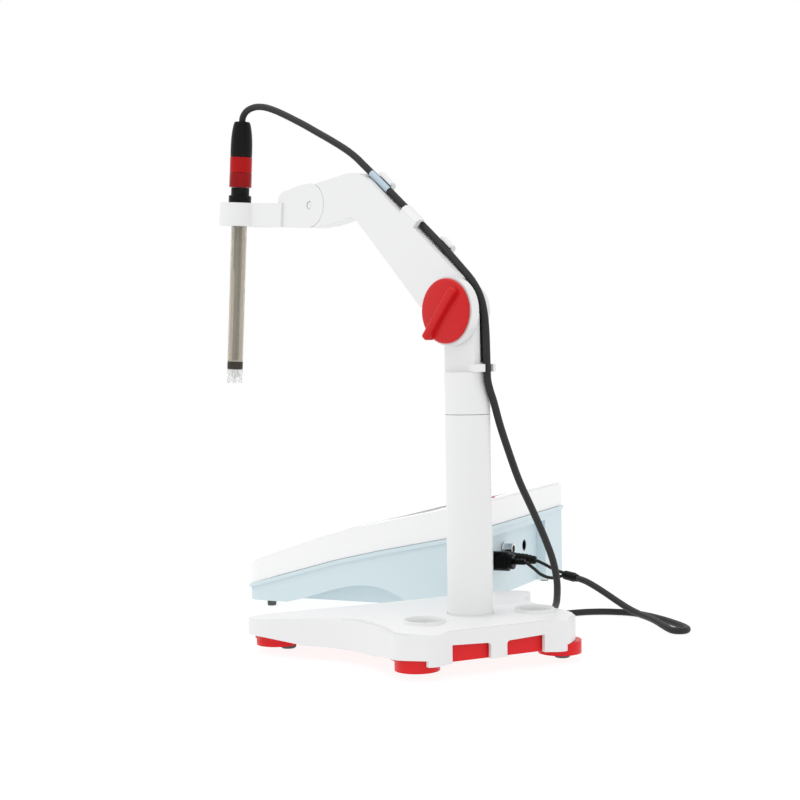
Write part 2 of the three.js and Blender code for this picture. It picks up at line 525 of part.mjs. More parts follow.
function buildElectrode() {
  const s = SHAFT;
  const e = HEAD;
  const tipZ = -s.drop;
  const guardTop = tipZ + s.guard;
  const bandTop = guardTop + s.band;
  place(electrode, 'electrode_shaft', carve([round(s.radius, bandTop + GAP, -GAP, 28)],
    [round(s.radius - s.wall, bandTop + GAP - 1, 1, 24)]), 'glass');
  place(electrode, 'electrode_inner_tube', carve([round(2.6, bandTop + 1, -2, 16)],
    [round(1.9, bandTop, -1, 16)]), 'glass');
  place(electrode, 'junction_band', carve([round(s.radius, guardTop + GAP, bandTop, 28)],
    [round(2.2, guardTop, bandTop + 1, 16)]), 'rubber');
  const slots = [0, 1].map((i) => box(-s.radius - 1, -1.9, tipZ - 1, s.radius + 1, 1.9, guardTop - 3.4)
    .rotateZ(i * 90 * DEG + 0.4));
  place(electrode, 'tip_guard', carve([round(s.radius, tipZ, guardTop, 28)],
    [round(s.radius - 1.2, tipZ - 1, guardTop + 1, 24), ...slots]), 'glass');
  const bulb = turned([[0, -BULB.radius], [BULB.radius * 0.7, -BULB.radius * 0.7], [BULB.radius, 0],
    [BULB.radius * 0.75, BULB.radius * 0.75], [BULB.stemR, BULB.radius * 1.2], [BULB.stemR, 9], [0, 9]], 16);
  place(electrode, 'glass_bulb', bulb, 'glass', [0, 0, guardTop + BULB.centre]);
  const z1 = e.flange;
  const z2 = z1 + e.neck;
  const z3 = z2 + e.cap;
  const z4 = z3 + e.sleeve;
  const z5 = z4 + e.boot;
  const flange = [[0, 0], [e.flangeR - 0.5, 0], [e.flangeR, 0.5], [e.flangeR, z1 - 0.5],
    [e.flangeR - 0.5, z1], [e.neckR, z1 + 0.2], [e.neckR, z2 - GAP], [0, z2 - GAP]];
  place(electrode, 'electrode_flange', turned(flange, 28), 'black');
  place(electrode, 'electrode_cap', round(e.capR, z2, z3 - GAP, 28), 'darkRed');
  place(electrode, 'electrode_sleeve', turned([[0, z3], [e.capR - 0.1, z3], [e.bootR + 0.1, z4 - GAP],
    [0, z4 - GAP]], 28), 'red');
  const boot = [[0, z4], [e.bootR, z4]];
  const bend = 66 * DEG;
  for (let i = 0; i <= 6; i += 1) {
    const a = (i / 6) * bend;
    boot.push([e.bootTip + (e.bootR - e.bootTip) * Math.cos(a) ** 0.9,
      z4 + 6 + (e.boot - 6) * Math.sin(a) / Math.sin(bend)]);
  }
  boot.push([0, z5]);
  place(electrode, 'electrode_boot', turned(boot, 28), 'black');
}
buildElectrode();

// ---- meter: X to the right, Y from the front to the rear, about its right rear edge ---------
const meter = group(site, [METER.rearX, METER.rearY, 0]);
const KEY_SLOPE = Math.atan2(METER.bendZ - METER.frontTopZ, METER.bend);
const TOP_SLOPE = Math.atan2(METER.rearTopZ - METER.bendZ, METER.depth - METER.bend);
const SCREEN_FROM = METER.depth - SCREEN.rear - SCREEN.height;
const PANEL_Z = METER.bendZ - METER.bend * Math.tan(TOP_SLOPE);
// Both slopes have Z out of the top and Y up the slope from the front.
const panel = group(meter, [0, -METER.depth, PANEL_Z], [TOP_SLOPE, 0, 0]);
const keypad = group(meter, [0, -METER.depth, METER.frontTopZ], [KEY_SLOPE, 0, 0]);

// A geometry drawn on one of the slopes, brought into the meter's own directions.
function onPanel(geometry) {
  return geometry.clone().rotateX(TOP_SLOPE).translate(0, -METER.depth, PANEL_Z);
}

function onKeypad(geometry) {
  return geometry.clone().rotateX(KEY_SLOPE).translate(0, -METER.depth, METER.frontTopZ);
}

// The meter's outline drawn in by `inset`, as a tall block.
function meterBlock(inset) {
  const r = METER.cornerR - inset * 0.5;
  return prism(rectangle(-METER.width + inset, -METER.depth + inset, -inset, -inset, r), 0, 120, 4);
}

// The side profile between two heights, each a list of [depth from the front, height].
function profile(lower, upper) {
  const shape = new THREE.Shape();
  const points = [...lower, ...upper.slice().reverse()];
  points.forEach(([d, z], i) => {
    if (i === 0) shape.moveTo(d - METER.depth, z);
    else shape.lineTo(d - METER.depth, z);
  });
  shape.closePath();
  return plank(shape, -METER.width - 10, 10);
}

function seam(offset) {
  const [first, last] = [SEAM[0], SEAM[SEAM.length - 1]];
  const before = [first[0] - 10, first[1] - 3 + offset];
  const after = [last[0] + 10, last[1] + 2 + offset];
  return [before, ...SEAM.map(([d, z]) => [d, z + offset]), after];
}

function flat(z) {
  return [[-10, z], [METER.depth + 10, z]];
}

function topLine(drop) {
  const fall = Math.tan(KEY_SLOPE) * 10;
  const rise = Math.tan(TOP_SLOPE) * 10;
  return [[-10, METER.frontTopZ - fall - drop], [METER.bend - 12, METER.bendZ - 1.2 * fall - drop],
    [METER.bend + 12, METER.bendZ + 1.2 * rise - drop], [METER.depth + 10, METER.rearTopZ + rise - drop]];
}

// The hollow for the fingers in each side, grown by `grow`.
function grips(grow) {
  const shape = new THREE.Shape();
  const steps = 10;
  const y0 = GRIP.from - METER.depth;
  const y1 = GRIP.to - METER.depth;
  shape.moveTo(y0 - grow, METER.underZ - 3);
  for (let i = 0; i <= steps; i += 1) {
    const t = i / steps;
    const rise = Math.sin(Math.PI * t ** 1.5) ** 0.8;
    const height = METER.underZ + (GRIP.peak - METER.underZ) * rise;
    shape.lineTo(y0 + (y1 - y0) * t + (t - 0.5) * 2 * grow, height + grow);
  }
  shape.lineTo(y1 + grow, METER.underZ - 3);
  shape.closePath();
  const reach = GRIP.depth + grow;
  return [plank(shape, -reach, 5), plank(shape, -METER.width - 5, -METER.width + reach)];
}

function recess(grow) {
  const seamAtRear = SEAM[SEAM.length - 1][1];
  return box(-METER.width + RECESS.side - grow, -RECESS.depth - grow, -5, -RECESS.side + grow, 10,
    seamAtRear - RECESS.top - METER.lip + grow);
}

const METER_FEET = [];
for (const y of [-METER.depth + FOOT.insetY, -FOOT.insetY]) {
  for (const x of [-FOOT.insetX, -METER.width + FOOT.insetX]) METER_FEET.push([x, y]);
}
const METER_SCREWS = [[-SCREW.inset, -METER.depth / 2], [-METER.width + SCREW.inset, -METER.depth / 2]];
const KEY_PLACES = [];
for (let row = 0; row < KEY.rows; row += 1) {
  for (let column = 0; column < KEY.columns; column += 1) {
    const across = (column - (KEY.columns - 1) / 2) * KEY.pitchX;
    KEY_PLACES.push([SCREEN.centreX + across, KEY.from + row * KEY.pitchY]);
  }
}

function keyOutline(x, y, grow) {
  const w = KEY.width / 2 + grow;
  const h = KEY.height / 2 + grow;
  return rectangle(x - w, y - h, x + w, y + h, KEY.cornerR);
}

// A hole through the rear wall for a socket, along Y.
function rearHole(radius, x, z, sides = 16) {
  return roundY(radius, -RECESS.depth - METER.wall - 14, 6, x, z, sides);
}

function buildMeterShells() {
  const m = METER;
  const base = common(meterBlock(0), profile(flat(m.underZ), seam(-GAP / 2)));
  const lip = common(meterBlock(-m.lipProud), profile(seam(-m.lip), seam(-GAP / 2)));
  const inside = common(meterBlock(m.wall), profile(flat(m.underZ + m.wall), seam(20)));
  let keep = toSolid(inside).subtract(toSolid(recess(m.wall)));
  for (const g of grips(m.wall)) keep = keep.subtract(toSolid(g));
  const nose = plank(rounded([[-m.depth - 5, 0, 0], [-m.depth + 5, 0, 0], [-m.depth - 1, m.underZ + 13, 0],
    [-m.depth - 5, m.underZ + 13, 0]]), -m.width - 6, 6);
  let shell = toSolid(base).add(toSolid(lip)).subtract(toSolid(recess(0)));
  for (const g of grips(0)) shell = shell.subtract(toSolid(g));
  shell = shell.subtract(keep).subtract(toSolid(nose));
  for (const [x, y] of METER_FEET) {
    shell = shell.subtract(toSolid(round(FOOT.radius + GAP, 0, m.underZ + FOOT.seat, 24).translate(x, y, 0)));
  }
  for (const [x, y] of METER_SCREWS) {
    shell = shell.subtract(toSolid(round(SCREW.radius + GAP, 0, m.underZ + m.wall + 1, 12).translate(x, y, 0)));
  }
  for (const g of [rearHole(BNC.radius + GAP, BNC.x, SOCKET_Z), rearHole(SPARE.radius + GAP, SPARE.x, SPARE.z),
    rearHole(CINCH.radius + GAP, CINCH.x, CINCH.z), rearHole(JACK.radius + GAP, JACK.x, JACK.z)]) {
    shell = shell.subtract(toSolid(g));
  }
  place(meter, 'meter_bottom_shell', toGeometry(shell), 'blue');

  const lidLow = common(meterBlock(0), profile(seam(GAP / 2), topLine(2)));
  const lidHigh = common(meterBlock(2), profile(seam(GAP / 2), topLine(0)));
  const cavity = common(meterBlock(m.wall), profile(seam(-9), topLine(m.skin)));
  const s = SCREEN;
  const half = s.width / 2;
  const screen = (inset, radius) => rectangle(s.centreX - half + inset, SCREEN_FROM + inset,
    s.centreX + half - inset, SCREEN_FROM + s.height - inset, radius);
  const window = onPanel(prism(screen(0, 3), -s.glass - GAP, 4));
  const opening = onPanel(prism(screen(s.ledge, 2), -8, 4));
  const strip = METER.depth - ACCENT.inset;
  const accent = onPanel(box(ACCENT.to - GAP, strip - GAP, -ACCENT.sunk - GAP, ACCENT.from + GAP,
    strip + ACCENT.width + GAP, 4));
  const keyHoles = KEY_PLACES.map(([x, y]) => onKeypad(prism(keyOutline(x, y, RUN), -8, 6, 4)));
  const lid = carve([lidLow, lidHigh], [cavity, window, opening, accent, ...keyHoles]);
  place(meter, 'meter_top_cover', lid, 'white');
  place(panel, 'display_window', prism(screen(GAP, 3), -s.glass, -s.sunk), 'screen');
  place(panel, 'accent_strip', box(ACCENT.to, strip, -ACCENT.sunk, ACCENT.from,
    strip + ACCENT.width, ACCENT.proud), 'red');
}

function buildMeterInside() {
  const s = SCREEN;
  const b = BOARD;
  place(panel, 'display_module', box(s.centreX - s.width / 2 + 5, SCREEN_FROM + 4, -b.below + b.thick + GAP,
    s.centreX + s.width / 2 - 5, SCREEN_FROM + s.height - 4, -METER.skin - 0.6), 'board');
  place(panel, 'main_board', box(-METER.width + b.margin, SCREEN_FROM - b.ahead, -b.below, -b.margin,
    METER.depth - b.rear,
    -b.below + b.thick), 'board');
  KEY_PLACES.forEach(([x, y], i) => {
    const w = KEY.width / 2;
    const h = KEY.height / 2;
    const cap = prism(keyOutline(x, y, 0), -METER.skin - 1.6, KEY.proud, 4);
    const flange = box(x - w - KEY.flange, y - h - KEY.flange, -METER.skin - 1.8, x + w + KEY.flange,
      y + h + KEY.flange, -METER.skin - 0.6);
    place(keypad, `key_${i + 1}`, carve([cap, flange]), 'key');
  });
}

function socket(name, spec, x, z, finish, sides = 16) {
  const face = -RECESS.depth;
  const body = [roundY(spec.radius, face - METER.wall - 8, face + spec.proud, x, z, sides),
    roundY(spec.flange, face + GAP, face + 1.6, x, z, sides)];
  const bore = roundY(spec.radius - 1.4, face + 1, face + spec.proud + 1, x, z, sides);
  place(meter, name, carve(body, [bore]), finish);
}

function buildSockets() {
  socket('electrode_socket', BNC, BNC.x, SOCKET_Z, 'steel');
  socket('spare_socket', SPARE, SPARE.x, SPARE.z, 'steel');
  socket('temperature_socket', CINCH, CINCH.x, CINCH.z, 'steel');
  const face = -RECESS.depth;
  place(meter, 'power_jack', carve([roundY(JACK.radius, face - METER.wall - 9, face - 0.2, JACK.x, JACK.z, 24)],
    [roundY(JACK.bore, face - 9, face + 1, JACK.x, JACK.z, 16)]), 'black');
  METER_FEET.forEach(([x, y], i) => {
    const foot = round(FOOT.radius - 0.5, 0, METER.underZ + FOOT.seat - GAP, 24, FOOT.radius);
    place(meter, `meter_foot_${i + 1}`, foot, 'rubber', [x, y, 0]);
  });
  METER_SCREWS.forEach(([x, y], i) => {
    const screw = round(SCREW.radius, METER.underZ + 0.4, METER.underZ + SCREW.length, 12);
    place(meter, `case_screw_${i + 1}`, screw, 'steel', [x, y, 0]);
  });
}

buildMeterShells();
buildMeterInside();
buildSockets();

// ---- cable and its plugs ----------------------------------------------------------------
function buildPlugs() {
  const face = -RECESS.depth;
  const along = (spec, r, y0, y1, sides = 24) => roundY(r, y0, y1, spec.x, spec.z ?? SOCKET_Z, sides);
  const bnc = [along(BNC, BNC.plugR, face + 2.2, BNC.plugEnd - 4),
    along(BNC, BNC.plugR - 1.6, face + 2.2, BNC.plugEnd),
    along(BNC, 2.4, BNC.plugEnd - 1, BNC.plugEnd + 9, 12)];
  const bncBore = along(BNC, BNC.radius + GAP, face, face + BNC.proud + GAP);
  place(meter, 'electrode_plug', carve(bnc, [bncBore]), 'black');
  const cinch = [along(CINCH, CINCH.plugR + 0.9, face + 2.2, face + CINCH.proud + 3),
    along(CINCH, CINCH.plugR, face + 3, CINCH.plugEnd - 2),
    along(CINCH, CINCH.plugR - 1.6, face + 3, CINCH.plugEnd)];
  const cinchBore = along(CINCH, CINCH.radius + GAP, face, face + CINCH.proud + GAP);
  place(meter, 'temperature_plug', carve(cinch, [cinchBore]), 'black');
}
buildPlugs();

// On the arm: [along the arm, towards the knob, up], about the column.
const CABLE_TOP = [[236.4, 0, 384.1], [235.7, 0, 387], [233.3, 0, 389.8], [229.6, 0, 391.8], [224.6, 0, 392.9],
  [218, 0, 393.1], [208.5, 0, 391.6], [196, 0, 387.6], [181, 0, 381.4], [172.5, 0, 377.6]];
const CABLE_ARC = [[172.1, 0, 377.4], [164.5, 0, 374], [148, 0, 366], [132, 0, 358.2],
  [116.4, 0, 350], [106.5, 0, 343.8], [98.5, 0, 337.7], [90.5, 0, 331.5]];
const CABLE_ARM = [[90.2, 0, 331.3], [80, 0, 323.4], [69.5, 0, 315], [56, 0, 304.2], [42.2, 0, 293],
  [29, 0, 282.4], [16, 0, 271.6], [4, 0, 261]];
const CABLE_NECK = [[3.7, 0, 260.7], [-3, 0, 254.6], [-9.2, 0, 247.6], [-13.8, 0, 239.6], [-16.4, 0, 230],
  [-17.6, 0, 219], [-18, 0, 208], [-18.2, 0, 198], [-18.4, 0, 190]];
// From the clip to the table, and along it, in the meter's own directions about the column.
const CABLE_FALL = [[6.83, 17.1, 189.5], [6.7, 17.12, 187.4], [3.6, 17.5, 180], [-0.8, 18.2, 172.5],
  [-8.9, 19.4, 156.3], [-18.6, 21.2, 139.1], [-32, 23.5, 118], [-49.5, 26.6, 96], [-66.7, 29.6, 73.5],
  [-76.9, 31.2, 58], [-86, 30.8, 42.5], [-98, 26.5, 27.5], [-118, 17.5, 16.8], [-138, 8.5, 9.6],
  [-154, 3.4, 5], [-166, 2.3, 3.1], [-171, 2.6, 2.8]];
const CABLE_LOOP = [[-171.4, 2.66, 2.8], [-174.6, 3.4, 2.75], [-184, 10.6, 2.7], [-192.6, 21, 2.7],
  [-198, 35, 2.7], [-198.4, 51, 2.7], [-191.2, 65.6, 2.7], [-180.5, 79.2, 2.7], [-169, 91, 2.7],
  [-157, 101.6, 2.7], [-150, 106.6, 2.7], [-144.8, 108.8, 2.7], [-139.8, 108.4, 2.7], [-136.2, 105.3, 2.8],
  [-135.6, 100.8, 3], [-138.4, 96.4, 3.7], [-145, 90.2, 4.8], [-154, 82.6, 5.9], [-164.5, 74.2, 6.2],
  [-174.5, 65, 6.4], [-182.6, 54.8, 8.4], [-189.8, 44.2, 11.9], [-196, 33.4, 16.3],
  [-203, 21.3, 20.9], [-208.5, 11.5, 23.9], [-212.3, 4, 25.2]];
const JUNCTION = { from: [-212.5, 3.6, 25.3], to: [-220, -9.5, 26.3], radius: 3.6 };
const LEAD_A = [[-221.6, -9.8, 27.4], [-223, -18, 29.2], [-224.5, -27, 33], [-225, -34.4, 35.9]];
const LEAD_B = [[-220.1, -10.9, 25.4], [-215, -18, 24], [-206.5, -24, 27.5], [-200.5, -28, 33],
  [-199, -34.3, 38]];

function buildCables() {
  place(head, 'cable_top', cord(CABLE_TOP, CABLE_R, 11), 'cable');
  place(head, 'cable_arc', cord(CABLE_ARC, CABLE_R, 15), 'cable');
  place(head, 'cable_arm', cord(CABLE_ARM, CABLE_R, 18), 'cable');
  place(head, 'cable_neck', cord(CABLE_NECK, CABLE_R, 12), 'cable');
  place(site, 'cable_fall', cord(CABLE_FALL, CABLE_R, 14), 'cable');
  place(site, 'cable_loop', cord(CABLE_LOOP, CABLE_R, 12), 'cable');
  place(site, 'cable_junction', cord([JUNCTION.from, JUNCTION.to], JUNCTION.radius, 20, 12), 'black');
  place(site, 'electrode_lead', cord(LEAD_B, LEAD_R, 7), 'cable');
  place(site, 'temperature_lead', cord(LEAD_A, LEAD_R, 7), 'cable');
}
buildCables();

// The origin is under the middle of everything but the cable and its plugs.
const ON_CABLE = new Set(['cable_top', 'cable_arc', 'cable_arm', 'cable_neck', 'cable_fall', 'cable_loop',
  'cable_junction', 'electrode_lead', 'temperature_lead', 'electrode_plug', 'temperature_plug']);
phMeter.updateMatrixWorld(true);
const extent = new THREE.Box3();
phMeter.traverse((node) => {
  if (node.isMesh && !ON_CABLE.has(node.name)) extent.expandByObject(node, true);
});
const middle = extent.getCenter(new THREE.Vector3());
site.position.set(-middle.x, -middle.y, -extent.min.z);

export default phMeter;
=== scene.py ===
"""A bench pH meter beside its electrode stand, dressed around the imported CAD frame.

Metres, +Z up. The meter's width runs along X and its sockets face +Y. Points that belong to the
arm, the electrode and the cable are written in millimetres in their own directions, and a Placement
turns them into the common frame.
"""
from __future__ import annotations

import logging
import math
from dataclasses import dataclass, field
from enum import Enum

import bmesh
import bpy
import numpy as np
from mathutils import Matrix, Vector

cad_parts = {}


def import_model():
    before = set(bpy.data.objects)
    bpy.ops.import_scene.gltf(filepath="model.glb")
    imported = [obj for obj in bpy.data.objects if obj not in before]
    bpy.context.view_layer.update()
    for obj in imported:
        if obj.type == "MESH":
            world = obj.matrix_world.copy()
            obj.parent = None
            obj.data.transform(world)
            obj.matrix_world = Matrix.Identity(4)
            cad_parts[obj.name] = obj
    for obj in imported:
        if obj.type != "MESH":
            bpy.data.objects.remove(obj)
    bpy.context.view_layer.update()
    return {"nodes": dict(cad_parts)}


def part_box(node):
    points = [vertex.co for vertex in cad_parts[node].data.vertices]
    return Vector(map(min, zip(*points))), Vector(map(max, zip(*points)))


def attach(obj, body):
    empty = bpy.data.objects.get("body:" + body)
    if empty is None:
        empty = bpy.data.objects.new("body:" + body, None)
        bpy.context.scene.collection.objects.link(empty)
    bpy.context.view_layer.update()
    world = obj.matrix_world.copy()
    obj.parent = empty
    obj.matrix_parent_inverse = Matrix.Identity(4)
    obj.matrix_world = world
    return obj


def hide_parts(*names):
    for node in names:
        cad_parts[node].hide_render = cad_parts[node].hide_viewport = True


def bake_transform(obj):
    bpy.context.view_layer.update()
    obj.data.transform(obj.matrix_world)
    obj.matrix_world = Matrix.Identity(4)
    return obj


LOG = logging.getLogger("ph_meter")
MM = 0.001
CORD_STEP = 0.0016
TAG_STEP = 0.001
WELD = 1e-6
ON_AXIS = 1e-6
FLOOR_HALF = 9.0
FLOOR_DROP = 0.0002
ARM_TURN = math.radians(-111.8)
HOLDER_TILT = math.radians(4.6)


class Body(Enum):
    """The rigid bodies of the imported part."""

    BASE = "base"
    HEAD = "head"
    ARM = "arm"
    KNOB = "knob"
    HOLDER = "holder"
    ELECTRODE = "electrode"


@dataclass(frozen=True)
class Placement:
    """A sub-assembly's own directions, in millimetres, as seen from the common frame."""

    origin: np.ndarray
    axes: np.ndarray

    def world(self, points: np.ndarray) -> np.ndarray:
        """Turns own points (N, 3) in millimetres into common points in metres."""
        return (np.asarray(points, float) @ self.axes + self.origin) * MM

    def inner(self, origin: tuple, turn: np.ndarray) -> "Placement":
        """A Placement inside this one.

        Args:
            origin: its origin in this one's directions, in millimetres.
            turn: its three axes as rows, in this one's directions.

        Returns:
            The nested Placement.
        """
        return Placement(np.asarray(origin, float) @ self.axes + self.origin, turn @ self.axes)


def turn_z(angle: float) -> np.ndarray:
    """Axes turned about Z by an angle in radians, as rows."""
    c, s = math.cos(angle), math.sin(angle)
    return np.array([[c, s, 0], [-s, c, 0], [0, 0, 1.0]])


def tilt_up(angle: float) -> np.ndarray:
    """Axes with X lifted by an angle in radians and Z leaning back, as rows."""
    c, s = math.cos(angle), math.sin(angle)
    return np.array([[c, 0, s], [0, 1.0, 0], [-s, 0, c]])


@dataclass
class Site:
    """Where each sub-assembly stands, worked out from the frame's own boxes."""

    column: np.ndarray = field(init=False)
    table: Placement = field(init=False)
    head: Placement = field(init=False)
    holder: Placement = field(init=False)
    electrode: Placement = field(init=False)

    def __post_init__(self) -> None:
        """Reads the column's axis and builds the placements about it."""
        low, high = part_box("column")
        self.column = np.array([(low.x + high.x) / 2, (low.y + high.y) / 2, 0.0]) / MM
        self.table = Placement(self.column, np.eye(3))
        self.head = Placement(self.column, turn_z(ARM_TURN))
        self.holder = self.head.inner((150, 0, 313), tilt_up(HOLDER_TILT))
        self.electrode = self.holder.inner((91.8, 0, 1.8), np.eye(3))


# ---- meshes -----------------------------------------------------------------------
class Build:
    """Makes finished mesh objects from arrays of points and faces."""

    @staticmethod
    def mesh(name: str, points: np.ndarray, faces: list, smooth: bool = True,
             uv: np.ndarray | None = None, sharp: float | None = 40.0) -> bpy.types.Object:
        """A mesh object at the origin.

        Args:
            name: the piece's name.
            points: (N, 3) in metres.
            faces: lists of point numbers.
            smooth: whether faces are shaded smooth.
            uv: a map value for each face corner, (corners, 2), in face order.
            sharp: edges that turn more than this many degrees stay sharp.

        Returns:
            The linked object.
        """
        data = bpy.data.meshes.new(name)
        data.from_pydata(np.asarray(points, float).tolist(), [], [list(map(int, f)) for f in faces])
        if uv is not None:
            layer = data.uv_layers.new(name="along")
            layer.data.foreach_set("uv", np.asarray(uv, np.float32).ravel())
        data.validate()
        piece = bpy.data.objects.new(name, data)
        bpy.context.scene.collection.objects.link(piece)
        Build.tidy(piece)
        if smooth:
            Build.shade(piece, sharp)
        return piece

    @staticmethod
    def tidy(piece: bpy.types.Object) -> None:
        """Merges doubled points and turns faces outwards."""
        work = bmesh.new()
        work.from_mesh(piece.data)
        bmesh.ops.remove_doubles(work, verts=work.verts, dist=1e-7)
        bmesh.ops.recalc_face_normals(work, faces=work.faces)
        work.to_mesh(piece.data)
        work.free()

    @staticmethod
    def shade(piece: bpy.types.Object, sharp: float | None) -> None:
        """Shades smooth, and keeps edges that turn by more than `sharp` degrees."""
        piece.data.polygons.foreach_set("use_smooth", np.ones(len(piece.data.polygons), bool))
        if sharp is not None:
            piece.data.set_sharp_from_angle(angle=math.radians(sharp))

    @staticmethod
    def grid(rows: int, columns: int, around: bool) -> np.ndarray:
        """Quad faces of a grid of rows by columns points, closed round the columns or not."""
        r = np.arange(rows - 1)[:, None]
        c = np.arange(columns if around else columns - 1)[None, :]
        n = (c + 1) % columns
        return np.stack([r * columns + c, r * columns + n, (r + 1) * columns + n,
                         (r + 1) * columns + c], -1).reshape(-1, 4)

    @staticmethod
    def revolve(name: str, profile: list, place: Placement, sides: int = 64,
                about: tuple = (0, 0, 0), sharp: float | None = 35.0,
                hollow: bool = False) -> bpy.types.Object:
        """A profile of (radius, height) carried round Z: x = r cos a, y = r sin a.

        Args:
            name: the piece's name.
            profile: points from one pole or rim to the other, in millimetres.
            place: the directions it is drawn in.
            sides: points round.
            about: a point on the axis.
            sharp: as for mesh.
            hollow: whether the profile closes on itself, as a tube's does.

        Returns:
            The object.
        """
        rows = np.asarray([*profile, profile[0]] if hollow else profile, float)
        angle = np.linspace(0, 2 * math.pi, sides, endpoint=False)
        x, y = rows[:, :1] * np.cos(angle), rows[:, :1] * np.sin(angle)
        z = np.broadcast_to(rows[:, 1:2], x.shape)
        own = np.stack([x, y, z], -1).reshape(-1, 3) + np.array(about)
        faces = Build.grid(len(rows), sides, True).tolist()
        if rows[0, 0] > ON_AXIS and not hollow:
            faces.append(list(range(sides))[::-1])
        if rows[-1, 0] > ON_AXIS and not hollow:
            faces.append([len(own) - sides + i for i in range(sides)])
        return Build.mesh(name, place.world(own), faces, sharp=sharp)

    @staticmethod
    def plate(name: str, outline: np.ndarray, edge: list, place: Placement,
              sharp: float | None = 35.0) -> bpy.types.Object:
        """An outline carried through (inset, height) steps and closed by two faces.

        Args:
            name: the piece's name.
            outline: (N, 2) round the shape, counter-clockwise, in millimetres.
            edge: (inset, height) from the lower face to the upper face.
            place: the directions it is drawn in.
            sharp: as for mesh.

        Returns:
            The object.
        """
        rings = [Outline.inset(outline, step) for step, _ in edge]
        own = np.column_stack([np.concatenate(rings), np.repeat([h for _, h in edge], len(outline))])
        n = len(outline)
        faces = Build.grid(len(edge), n, True).tolist()
        faces.append(list(range(n))[::-1])
        faces.append([len(own) - n + i for i in range(n)])
        return Build.mesh(name, place.world(own), faces, sharp=sharp)

    @staticmethod
    def combine(piece: bpy.types.Object, other: bpy.types.Object, operation: str) -> None:
        """Applies a Boolean with another piece, which is used up.

        Args:
            piece: the piece that stays.
            other: the piece to combine with.
            operation: UNION or INTERSECT.
        """
        step = piece.modifiers.new("step", "BOOLEAN")
        step.operation, step.solver, step.object = operation, "EXACT", other
        Build.settle(piece)
        bpy.data.objects.remove(other)

    @staticmethod
    def settle(piece: bpy.types.Object) -> None:
        """Makes the piece's modifiers part of its mesh."""
        graph = bpy.context.evaluated_depsgraph_get()
        graph.update()
        data = bpy.data.meshes.new_from_object(piece.evaluated_get(graph))
        piece.modifiers.clear()
        piece.data = data

    @staticmethod
    def soften(piece: bpy.types.Object, width: float, steps: int = 2, limit: float = 40.0) -> None:
        """Rounds sharp edges by a width in millimetres and evens the shading."""
        weld = piece.modifiers.new("weld", "WELD")
        weld.merge_threshold = WELD
        bevel = piece.modifiers.new("round", "BEVEL")
        bevel.width = width * MM
        bevel.segments = steps
        bevel.limit_method = "ANGLE"
        bevel.angle_limit = math.radians(limit)
        bevel.harden_normals = False
        bevel.miter_outer = "MITER_ARC"
        even = piece.modifiers.new("even", "WEIGHTED_NORMAL")
        even.keep_sharp = False
        piece.data.polygons.foreach_set("use_smooth", np.ones(len(piece.data.polygons), bool))


class Outline:
    """Flat outlines as (N, 2) arrays in millimetres."""

    @staticmethod
    def rounded(points: list, steps: int = 10) -> np.ndarray:
        """Corners replaced by a quadratic arc between points `reach` along each side.

        Args:
            points: (x, y, reach) round the shape.
            steps: points on each arc.

        Returns:
            The outline.
        """
        corner = np.array([p[:2] for p in points], float)
        reach = np.array([p[2] for p in points], float)
        before, after = np.roll(corner, 1, 0) - corner, np.roll(corner, -1, 0) - corner
        long_b, long_a = np.linalg.norm(before, axis=1), np.linalg.norm(after, axis=1)
        reach = np.minimum(reach, np.minimum(long_a, long_b) * 0.48)
        start = corner + before / long_b[:, None] * reach[:, None]
        end = corner + after / long_a[:, None] * reach[:, None]
        t = np.linspace(0, 1, steps)[None, :, None]
        arcs = (1 - t) ** 2 * start[:, None] + 2 * t * (1 - t) * corner[:, None] + t ** 2 * end[:, None]
        flat = arcs.reshape(-1, 2)
        keep = np.linalg.norm(flat - np.roll(flat, 1, 0), axis=1) > 1e-4
        flat = flat[keep]
        x, y = flat.T
        area = np.sum(x * np.roll(y, -1) - np.roll(x, -1) * y)
        return flat if area > 0 else flat[::-1]

    @staticmethod
    def inset(outline: np.ndarray, step: float) -> np.ndarray:
        """The outline moved inwards: each point goes along the mean normal of its two sides."""
        ahead = np.roll(outline, -1, 0) - outline
        behind = outline - np.roll(outline, 1, 0)
        ahead = ahead / np.linalg.norm(ahead, axis=1)[:, None]
        behind = behind / np.linalg.norm(behind, axis=1)[:, None]
        mean = ahead + behind
        mean = mean / np.linalg.norm(mean, axis=1)[:, None]
        reach = 1 / np.maximum(0.5, (mean * ahead).sum(1))
        return outline + np.column_stack([-mean[:, 1], mean[:, 0]]) * (step * reach)[:, None]


